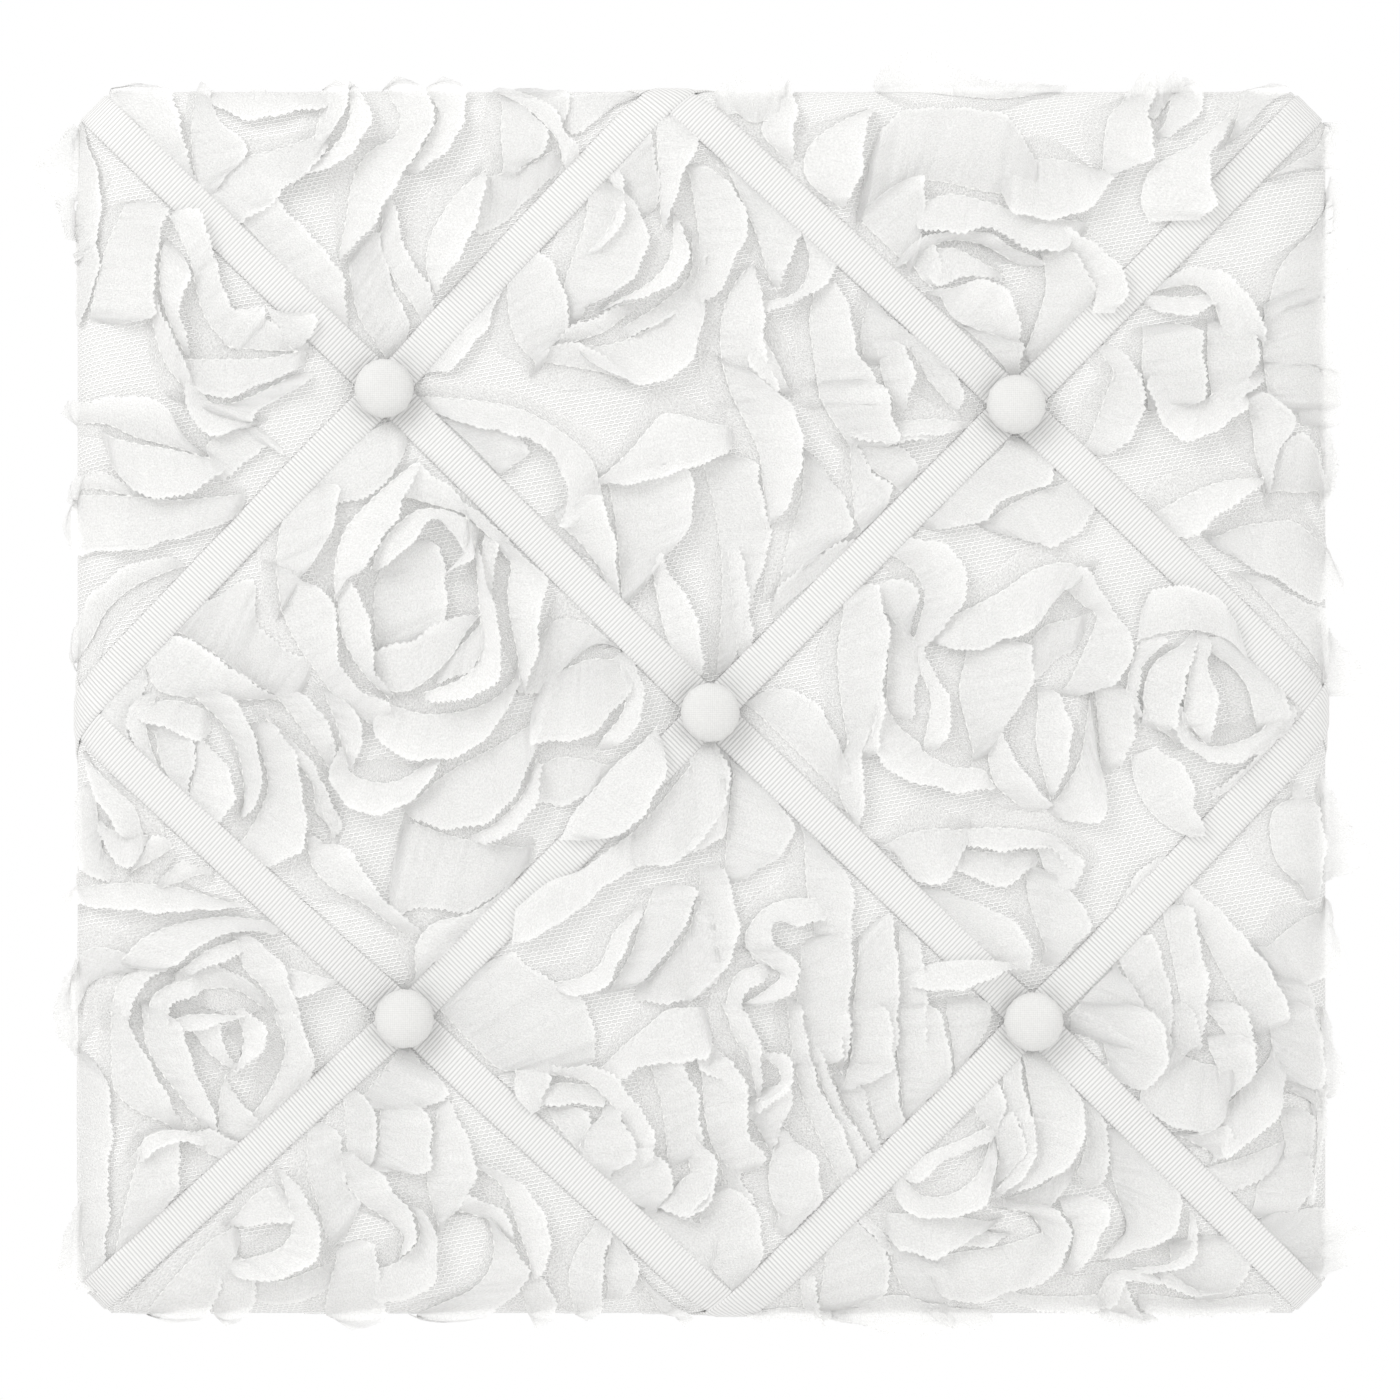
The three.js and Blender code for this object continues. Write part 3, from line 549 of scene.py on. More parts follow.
def grown(obj, tree, sizes):
    """Runs a tree on an object and keeps the result as its plain mesh."""
    modifier = obj.modifiers.new(tree.name, "NODES")
    modifier.node_group = tree
    for item in tree.interface.items_tree:
        if item.in_out == "INPUT" and item.name in sizes:
            modifier[item.identifier] = sizes[item.name]
    graph = bpy.context.evaluated_depsgraph_get()
    mesh = bpy.data.meshes.new_from_object(obj.evaluated_get(graph), preserve_all_data_layers=True,
                                           depsgraph=graph)
    obj.modifiers.remove(modifier)
    obj.data = mesh


# Materials

def new_material(name, roughness=0.5, sheen=0.0):
    """A material, its tree, and the shader in it."""
    material = bpy.data.materials.new(name)
    material.use_nodes = True
    tree = material.node_tree
    tree.nodes.clear()
    output = tree.nodes.new("ShaderNodeOutputMaterial")
    shader = tree.nodes.new("ShaderNodeBsdfPrincipled")
    tree.links.new(shader.outputs["BSDF"], output.inputs["Surface"])
    shader.inputs["Roughness"].default_value = roughness
    shader.inputs["Sheen Weight"].default_value = sheen
    return material, Nodes(tree), shader


def weave_height(nodes, vector, pitch_u, pitch_v):
    """Threads over and under each other: 0 between them and 1 on their crowns."""
    u, v = nodes.split(vector)
    u = nodes.math("MULTIPLY", u, math.pi / pitch_u)
    v = nodes.math("MULTIPLY", v, math.pi / pitch_v)
    over = nodes.math("MULTIPLY", nodes.math("SINE", u), nodes.math("SINE", v))
    warp = nodes.math("MULTIPLY", nodes.math("ABSOLUTE", nodes.math("SINE", u)),
                      nodes.math("MULTIPLY_ADD", over, 0.5, 0.5))
    weft = nodes.math("MULTIPLY", nodes.math("ABSOLUTE", nodes.math("SINE", v)),
                      nodes.math("MULTIPLY_ADD", over, -0.5, 0.5))
    return nodes.math("MAXIMUM", warp, weft)


# Width of a cell of the net in metres, its height as if its sides were all alike, and its turn
NET_WIDE = 0.00155
NET_HIGH = 0.00115
NET_TURN = -14


def net_material():
    """White lining under a hexagonal net that is stretched sideways. The lining seen in the holes is
    painted grey, as shade under the net, patchy at random.
    """
    material, nodes, shader = new_material("net over lining", roughness=0.9, sheen=0.2)
    place = nodes.uv()
    wander = nodes.add("ShaderNodeTexNoise", {"Vector": place, "Scale": 60}).outputs["Color"]
    shift = nodes.add("ShaderNodeVectorMath", operation="MULTIPLY_ADD")
    nodes.feed(shift.inputs, (wander, (0.0008, 0.0008, 0), place))
    turn = nodes.add("ShaderNodeMapping", {
        "Vector": shift.outputs[0],
        "Rotation": (0, 0, math.radians(NET_TURN)),
        "Scale": (1 / NET_WIDE, 1 / NET_HIGH, 1),
    })
    across, up = nodes.split(turn.outputs[0])
    tall = math.sqrt(3)

    def cell(shift_x, shift_y):
        """From 0 in the middle of the nearest cell to 0.5 at its sides."""
        x = nodes.math("WRAP", nodes.math("ADD", across, shift_x), 0.5, -0.5)
        y = nodes.math("WRAP", nodes.math("ADD", up, shift_y), tall / 2, -tall / 2)
        x, y = nodes.math("ABSOLUTE", x), nodes.math("ABSOLUTE", y)
        slant = nodes.math("ADD", nodes.math("MULTIPLY", x, 0.5), nodes.math("MULTIPLY", y, 0.6 * tall))
        return nodes.math("MAXIMUM", x, slant)

    inside = nodes.math("MINIMUM", cell(0, 0), cell(0.5, tall / 2))
    thread = nodes.map_range(inside, 0.3, 0.5, interpolation_type="SMOOTHSTEP")
    patch = nodes.noise(place, 55, 3)
    # The holes are painted grey, as the shade in them under the net, patchy at random; the threads are
    # white.
    painted_hole_shade = nodes.mix(patch, (0.63, 0.63, 0.625), (0.79, 0.79, 0.785))
    colour = nodes.mix(thread, painted_hole_shade, (0.96, 0.96, 0.955))
    nodes.link(colour, shader.inputs["Base Color"])
    weave = weave_height(nodes, place, 0.00045, 0.00045)
    height = nodes.math("MULTIPLY_ADD", weave, 0.2, thread)
    nodes.link(nodes.bump(height, 0.00035, 0.8), shader.inputs["Normal"])
    return material


def cloth_material(name, colours, pitch):
    """Woven white cloth with fine threads, a little mottled at random, and with painted shade between the
    threads.
    """
    material, nodes, shader = new_material(name, roughness=0.85, sheen=0.15)
    place = nodes.uv()
    weave = weave_height(nodes, place, pitch, pitch)
    slub = nodes.noise(place, 1300, 2, 0.7)
    cloud = nodes.noise(nodes.object_place(), 90, 3)
    thread = nodes.math("MULTIPLY_ADD", weave, 0.4, nodes.math("MULTIPLY", slub, 0.6))
    shade = nodes.math("MULTIPLY_ADD", cloud, 0.3, nodes.math("MULTIPLY", thread, 0.9))
    # The colour is lighter on the threads' crowns and darker between them, as painted shade; slub and
    # cloud add random tone.
    colour = nodes.mix(shade, *colours)
    nodes.link(colour, shader.inputs["Base Color"])
    crumple = nodes.noise(nodes.object_place(), 260, 3)
    height = nodes.math("MULTIPLY_ADD", crumple, 2.0, thread)
    nodes.link(nodes.bump(height, 0.00012, 0.7), shader.inputs["Normal"])
    return material


def chiffon_material():
    """Fine crepe that lets light and some of the net through, denser along its raw edge, where its colour
    is lightened as a painted highlight.
    """
    material, nodes, shader = new_material("chiffon", roughness=0.8, sheen=0.15)
    place = nodes.uv()
    weave = weave_height(nodes, place, 0.0006, 0.0006)
    slub = nodes.map_range(nodes.noise(place, 1900, 2, 0.7), 0.34, 0.66)
    cloud = nodes.noise(nodes.object_place(), 70, 3)
    edge = nodes.add("ShaderNodeAttribute", attribute_name="raw_edge_and_highlight").outputs["Fac"]
    thread = nodes.math("MULTIPLY_ADD", weave, 0.4, nodes.math("MULTIPLY", slub, 0.6))
    shade = nodes.math("MULTIPLY_ADD", cloud, 0.3, nodes.math("MULTIPLY", thread, 0.7))
    # The colour is lighter on the threads' crowns and darker between them, as painted shade; slub and
    # cloud add random tone.
    woven = nodes.mix(shade, (0.92, 0.92, 0.915), (1.0, 1.0, 0.995))
    # Along the raw edge the colour is lightened: partly the denser folded edge, partly a painted
    # highlight.
    colour = nodes.mix(nodes.math("MULTIPLY", edge, 0.6), woven, (0.99, 0.99, 0.985))
    nodes.link(colour, shader.inputs["Base Color"])
    crumple = nodes.noise(nodes.object_place(), 240, 3)
    height = nodes.math("MULTIPLY_ADD", crumple, 1.2, thread)
    normal = nodes.bump(height, 0.00022, 0.8)
    nodes.link(normal, shader.inputs["Normal"])
    glow = nodes.add("ShaderNodeBsdfTranslucent", {"Color": (0.95, 0.95, 0.945, 1), "Normal": normal})
    cloth = nodes.mix_shader(0.33, shader.outputs[0], glow.outputs[0])
    gap = nodes.add("ShaderNodeBsdfTransparent")
    sheer = nodes.add("ShaderNodeAttribute", attribute_name="under_layer").outputs["Fac"]
    open_share = nodes.math("MULTIPLY", nodes.math("SUBTRACT", 1.0, edge),
                            nodes.math("MULTIPLY_ADD", slub, -0.16, 0.22))
    open_share = nodes.math("MULTIPLY", open_share, nodes.math("MULTIPLY_ADD", sheer, 1.8, 1.0))
    blend = nodes.mix_shader(open_share, cloth, gap.outputs[0])
    nodes.link(blend, nodes.tree.nodes["Material Output"].inputs["Surface"])
    return material


def grosgrain_material():
    """Ribbon with ribs across it. Its colour is darker in the grooves between them, as painted shade
    there.
    """
    material, nodes, shader = new_material("grosgrain", roughness=0.6, sheen=0.3)
    along, across = nodes.split(nodes.uv())
    rib_and_groove_shade, strand = [nodes.math("ABSOLUTE", nodes.math("SINE", nodes.math("MULTIPLY", way, math.pi / pitch)))
                   for way, pitch in ((along, RIB_PITCH * MM), (across, 0.00042))]
    # The colour is darker in the grooves between the ribs: painted shade.
    colour = nodes.mix(nodes.math("POWER", rib_and_groove_shade, 0.5), (0.42, 0.42, 0.415), (0.785, 0.785, 0.78))
    nodes.link(colour, shader.inputs["Base Color"])
    nodes.link(nodes.bump(strand, 0.00008, 0.6), shader.inputs["Normal"])
    return material


def felt_material():
    """Pressed felt: short fibres lying every way."""
    material, nodes, shader = new_material("felt", roughness=0.95, sheen=0.4)
    place = nodes.object_place()
    fibres = nodes.noise(place, 1400, 3, 0.7)
    cloud = nodes.noise(place, 60, 3)
    shade = nodes.math("MULTIPLY_ADD", fibres, 0.6, nodes.math("MULTIPLY", cloud, 0.4))
    nodes.link(nodes.mix(shade, (0.76, 0.76, 0.75), (0.92, 0.92, 0.91)), shader.inputs["Base Color"])
    nodes.link(nodes.bump(fibres, 0.0003, 0.7), shader.inputs["Normal"])
    return material


def steel_material():
    """Zinc-plated steel with a faint brushed grain and a few duller patches."""
    material, nodes, shader = new_material("zinc-plated steel")
    place = nodes.object_place()
    stretch = nodes.add("ShaderNodeMapping", {"Vector": place, "Scale": (200, 3000, 3000)})
    grain = nodes.noise(stretch.outputs[0], 1, 3)
    patch = nodes.noise(place, 300, 3)
    nodes.link(nodes.mix(patch, (0.5, 0.51, 0.53), (0.68, 0.69, 0.7)), shader.inputs["Base Color"])
    rough = nodes.math("MULTIPLY_ADD", grain, 0.25, 0.25)
    nodes.link(rough, shader.inputs["Roughness"])
    nodes.link(nodes.bump(grain, 0.00005, 0.4), shader.inputs["Normal"])
    shader.inputs["Metallic"].default_value = 1.0
    return material


def panel_material():
    """Raw fibreboard: fine fibres with a few darker flecks."""
    material, nodes, shader = new_material("fibreboard", roughness=0.9)
    place = nodes.object_place()
    fibre = nodes.noise(place, 900, 4, 0.7)
    nodes.link(nodes.mix(fibre, (0.36, 0.24, 0.13), (0.6, 0.44, 0.27)), shader.inputs["Base Color"])
    nodes.link(nodes.bump(fibre, 0.0002, 0.5), shader.inputs["Normal"])
    return material


NET = net_material()
CHIFFON = chiffon_material()
GROSGRAIN = grosgrain_material()
THREAD = cloth_material("sewing thread", ((0.8, 0.8, 0.79), (0.94, 0.94, 0.93)), 0.0003)
BUTTON_CLOTH = cloth_material("button cloth", ((0.49, 0.49, 0.485), (0.79, 0.79, 0.78)), 0.00055)
WADDING = cloth_material("wadding", ((0.85, 0.84, 0.8), (0.93, 0.92, 0.88)), 0.001)
FELT = felt_material()
STEEL = steel_material()
PANEL = panel_material()


# Camera, light and stage

LENS = 100
SENSOR = 36
DISTANCE = LENS * PHOTO_SIDE * PIXEL / SENSOR

camera_data = bpy.data.cameras.new("camera")
camera_data.lens = LENS
camera_data.sensor_width = SENSOR
camera_data.clip_end = 20
camera = placed("camera", camera_data)
camera.location = (
    MIDDLE_X + (PHOTO_SIDE / 2 - PHOTO_MIDDLE[0]) * PIXEL * MM,
    BACK_Y + (ROUND_START - DISTANCE) * MM,
    MIDDLE_Z + (PHOTO_MIDDLE[1] - PHOTO_SIDE / 2) * PIXEL * MM,
)
camera.rotation_euler = (math.pi / 2, 0, 0)
bpy.context.scene.camera = camera
bpy.context.scene.view_settings.view_transform = "Standard"


def area_light(name, place, aim, size, power):
    data = bpy.data.lights.new(name, "AREA")
    data.shape = "DISK"
    data.size = size
    data.energy = power
    light = placed(name, data)
    light.location = place
    way = np.array(aim, float) - np.array(place, float)
    level = math.hypot(way[0], way[1])
    light.rotation_euler = (math.pi / 2 + math.atan2(way[2], level), 0, math.atan2(-way[0], way[1]))


FACE = (MIDDLE_X, BACK_Y, MIDDLE_Z)
area_light("key", (-0.75, -0.75, MIDDLE_Z + 0.8), FACE, 0.8, 5.4)
area_light("fill", (0.9, -1.2, MIDDLE_Z + 0.1), FACE, 1.0, 2.75)
area_light("back", (0.4, 1.2, MIDDLE_Z + 0.7), FACE, 0.9, 1.2)


def make_world():
    """Soft light from all round. The camera and reflections see plain white in its place."""
    world = bpy.data.worlds.new("studio")
    world.use_nodes = True
    world.node_tree.nodes.clear()
    nodes = Nodes(world.node_tree)

    def background(colour, strength):
        inputs = {"Color": (*colour, 1), "Strength": strength}
        return nodes.add("ShaderNodeBackground", inputs).outputs[0]

    rays = nodes.add("ShaderNodeLightPath").outputs
    mirrored = nodes.math("MAXIMUM", rays["Is Glossy Ray"], rays["Is Transmission Ray"])
    seen = nodes.math("MAXIMUM", rays["Is Camera Ray"], mirrored)
    blend = nodes.mix_shader(seen, background((1.0, 0.995, 0.985), 0.98), background((1, 1, 1), 1.0))
    nodes.link(blend, nodes.add("ShaderNodeOutputWorld").inputs["Surface"])
    bpy.context.scene.world = world


def make_floor():
    """A pale floor below the board, as it hangs on its wall."""
    mesh = bpy.data.meshes.new("floor")
    low = cad_box[0][2] - 0.3
    corners = ((-1.3, -1.3), (1.3, -1.3), (1.3, 1.3), (-1.3, 1.3))
    mesh.from_pydata([(x, y, low) for x, y in corners], [], [(0, 1, 2, 3)])
    floor = placed("floor", mesh)
    material, _, shader = new_material("floor", roughness=0.9)
    shader.inputs["Base Color"].default_value = (0.95, 0.95, 0.95, 1)
    mesh.materials.append(material)


make_world()
make_floor()


# The cover and the foam in it

def make_cover():
    cover = padded_form("cover_cloth", NET, 0.0, COVER_SPACING)
    stand_in(cover, "net_cover")
    foam = padded_form("foam_block", WADDING, COVER_THICKNESS + FOAM_GAP, FOAM_SPACING)
    stand_in(foam, "foam_pad")


# Ribbons

def edge_walk(walked, lift):
    """Inset and level of a ribbon that has gone a way over an edge, with its lift off the cloth."""
    t = np.clip(walked, 0, ROUND_LENGTH)
    angle = np.interp(t, ROUND_WALK, QUARTER)
    inset = ROUND_INSET - (ROUND_INSET + lift) * np.sin(angle)
    level = ROUND_START - (ROUND_DEPTH + lift) * np.cos(angle)
    past = np.clip(walked - ROUND_LENGTH, 0, SIDE_LENGTH)
    level = level + past
    bend = (BACK_RADIUS + lift) * math.pi / 2
    turn = np.clip((walked - ROUND_LENGTH - SIDE_LENGTH) / bend, 0, 1) * math.pi / 2
    inset = inset + (BACK_RADIUS + lift) * (1 - np.cos(turn))
    level = level + (BACK_RADIUS + lift) * np.sin(turn)
    behind = np.maximum(walked - ROUND_LENGTH - SIDE_LENGTH - bend, 0)
    return inset + behind, level


def ribbon_points(name):
    """Rows of a ribbon's under and upper side, and the length that each row has gone."""
    stops, route = RIBBONS[name], ROUTES[name]
    marks = walk_of(route)
    total = marks[-1]
    ways = np.diff(route, axis=0)
    ways /= np.linalg.norm(ways, axis=1)[:, None]
    tails = [tail_of(stops[0], -ways[0]), tail_of(stops[-1], ways[-1])]
    slow = [abs(ways[0] @ tails[0][1]), abs(ways[-1] @ tails[1][1])]
    tail = BEHIND + TAIL_REACH
    start, end = -tail / slow[0], total + tail / slow[1]
    count = int((end - start) / RIB_PITCH) * RIB_STEPS
    along = np.linspace(start, end, count)

    # The middle line, and the way that the ribbon goes at each row
    way = np.tile(ways[0], (count, 1))
    for k in range(1, len(ways)):
        t = ramp(along, marks[k] - TURN_REACH, marks[k] + TURN_REACH)[:, None]
        way = way * (1 - t) + ways[k] * t
    way /= np.linalg.norm(way, axis=1)[:, None]
    side = np.stack([-way[:, 1], way[:, 0]], axis=1)
    middle = np.stack([np.interp(along, marks, route[:, k]) for k in range(2)], axis=1)
    before, after = along < 0, along > total
    middle[before] = route[0] + along[before, None] * ways[0]
    middle[after] = route[-1] + (along[after] - total)[:, None] * ways[-1]

    # Its gap from the cloth, with the lift where it passes over another
    lift = np.zeros(count)
    for stop in PASSES_OVER.get(name, []):
        away = np.abs(along - marks[stops.index(stop)])
        lift = np.maximum(lift, CROSS_LIFT * (1 - ramp(away, CROSS_REACH, CROSS_REACH + CROSS_RAMP)))
    eased = ramp(np.minimum(along, total - along), 0, END_EASE)
    clear = EDGE_CLEAR + (RIBBON_CLEAR - EDGE_CLEAR) * eased + lift

    # A flat section tilts with the cloth and rests on its highest place, smoothed along the ribbon
    reach = np.linspace(-1, 1, 5)
    spots = middle[:, None] + side[:, None] * reach[None, :, None] * RIBBON_WIDTH / 2
    levels = face_level(spots[..., 0], spots[..., 1], ROUND_INSET)
    tilt = (levels[:, -1] - levels[:, 0]) / 2
    levels = (levels - np.outer(tilt, reach)).min(axis=1)
    window = int(LEVEL_REACH / (along[1] - along[0]))
    kernel = np.hanning(2 * window + 1)
    kernel /= kernel.sum()
    levels, tilt = [np.convolve(np.pad(row, window, mode="edge"), kernel, mode="valid")
                    for row in (levels, tilt)]

    # Places across the section, and the share of the thickness that it has there
    across = np.array([-1, -0.93, -0.6, -0.2, 0.2, 0.6, 0.93, 1])
    crown = np.array([0.35, 0.95, 1, 1, 1, 1, 0.95, 0.35])

    def laid(offset, height):
        """A line along the ribbon, at an offset across it and a height above its under side."""
        spot = middle + side * offset * RIBBON_WIDTH / 2
        rise = clear + height
        level = levels + tilt * offset
        line = np.stack([spot[:, 0], level - rise, spot[:, 1]], axis=1)
        for first, (point, inward, tangent, _, tug) in zip((True, False), tails):
            walked = ROUND_INSET - (spot - point) @ inward
            over = ((along < total / 2) == first) & (walked > 0)
            walked = walked[over]
            inset, depth = edge_walk(walked, rise[over])
            drawn = tug * ramp(walked - ROUND_LENGTH, -DRAW_START, SIDE_LENGTH + STAPLE_INSET + BEND_EXTRA)
            beside = (spot[over] - point) @ tangent + drawn
            plan = point + np.outer(inset, inward) + np.outer(beside, tangent)
            join = (level[over] - SHOULDER) * (1 - ramp(walked, 0, ROUND_LENGTH))
            line[over] = np.stack([plan[:, 0], depth + join, plan[:, 1]], axis=1)
        return line

    top = [laid(offset, RIBBON_THICKNESS * share) for offset, share in zip(across, crown)]
    under = [laid(offset, 0.0) for offset in across[::-1]]
    return np.stack(top + under, axis=1), along, across


def rib_tree():
    """Raises round ribs across a band, by the length in its weave map. They fade at its two edges."""
    nodes, start, end = sized_tree("grosgrain ribs", RIB_SIZES)
    place = nodes.add("GeometryNodeInputNamedAttribute", {"Name": "weave"}, data_type="FLOAT_VECTOR")
    along, across = nodes.split(place.outputs["Attribute"])
    turn = nodes.math("DIVIDE", nodes.math("MULTIPLY", along, math.pi), start.outputs["Rib pitch"])
    round_rib = nodes.math("SQRT", nodes.math("ABSOLUTE", nodes.math("SINE", turn)))
    beside = nodes.math("DIVIDE", nodes.math("ABSOLUTE", across), start.outputs["Ribbon width"])
    fade = nodes.map_range(beside, 0.45, 0.5, to=(1.0, 0.4), interpolation_type="SMOOTHSTEP")
    height = nodes.math("MULTIPLY", nodes.math("MULTIPLY", round_rib, fade), start.outputs["Rib height"])
    normal = nodes.add("GeometryNodeInputNormal")
    offset = nodes.add("ShaderNodeVectorMath", {"Vector": normal.outputs[0], "Scale": height},
                       operation="SCALE")
    ribbed = nodes.add("GeometryNodeSetPosition",
                       {"Geometry": start.outputs["Geometry"], "Offset": offset.outputs[0]})
    finish = nodes.add("GeometryNodeSetMaterial", {"Geometry": ribbed.outputs[0], "Material": GROSGRAIN})
    nodes.link(finish.outputs[0], end.inputs[0])
    return nodes.tree


RIB_SIZES = {"Rib pitch": RIB_PITCH * MM, "Rib height": RIB_HEIGHT * MM, "Ribbon width": RIBBON_WIDTH * MM}


def make_ribbons():
    """Closed bands along the six routes, with ribs raised on them."""
    ribs = rib_tree()
    for name in RIBBONS:
        loops, along, across = ribbon_points(name)
        rows, columns = loops.shape[:2]
        points = loops.reshape(-1, 3)
        faces = grid_faces(rows, columns, closed=True)
        faces.append(list(range(columns))[::-1])
        faces.append([(rows - 1) * columns + k for k in range(columns)])
        v = np.concatenate([across, across[::-1]]) * RIBBON_WIDTH / 2
        uv = np.stack(np.meshgrid(along - along[0], v, indexing="ij"), axis=-1).reshape(-1, 2) * MM
        ribbon = new_object(f"{name}_cloth", points, faces, GROSGRAIN, uv=uv)
        close_seams(ribbon)
        grown(ribbon, ribs, RIB_SIZES)
        stand_in(ribbon, name)


# Buttons

def make_buttons():
    """Domed caps of cloth, turned in at their rims and a little pleated there."""
    around = np.arange(BUTTON_TURNS) / BUTTON_TURNS * 2 * math.pi
    for name, place in BUTTONS.items():
        low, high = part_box(f"button_cloth_{name}")
        radius = (high[2] - low[2]) / 2 / MM
        front, rear = (low[1] - BACK_Y) / MM, (high[1] - BACK_Y) / MM
        dome = rear - front - BUTTON_LIP
        profile = []
        for angle in np.linspace(0, math.pi / 2, 18):
            out = math.sin(angle) ** 0.92
            profile.append((radius * out, rear - BUTTON_LIP - dome * math.cos(angle) ** 0.8))
        for angle in np.linspace(0, math.pi / 2, 5)[1:]:
            profile.append((radius - BUTTON_LIP * (1 - math.cos(angle)),
                            rear - BUTTON_LIP * (1 - math.sin(angle))))
        profile.append((radius - BUTTON_FOOT, rear))
        rows, flat = [], []
        walked = 0.0
        before = profile[0]
        for r, y in profile:
            walked += math.hypot(r - before[0], y - before[1])
            before = (r, y)
            pleat = PLEAT_DEPTH * np.cos(PLEATS * around + 1.3 * np.sin(3 * around))
            spread = max(r, 1e-4) + pleat * ramp(r / radius, 0.82, 1.0)
            rows.append(np.stack([place[0] + spread * np.cos(around), np.full(BUTTON_TURNS, y),
                                  place[1] + spread * np.sin(around)], axis=1))
            flat.append(np.stack([walked * np.cos(around), walked * np.sin(around)], axis=1))
        faces = grid_faces(len(profile), BUTTON_TURNS, closed=True)
        faces.append([(len(profile) - 1) * BUTTON_TURNS + k for k in range(BUTTON_TURNS)])
        faces.append(list(range(BUTTON_TURNS))[::-1])
        button = new_object(f"covered_button_{name}", np.concatenate(rows), faces, BUTTON_CLOTH,
                            uv=np.concatenate(flat) * MM)
        close_seams(button)
        stand_in(button, f"button_cloth_{name}")
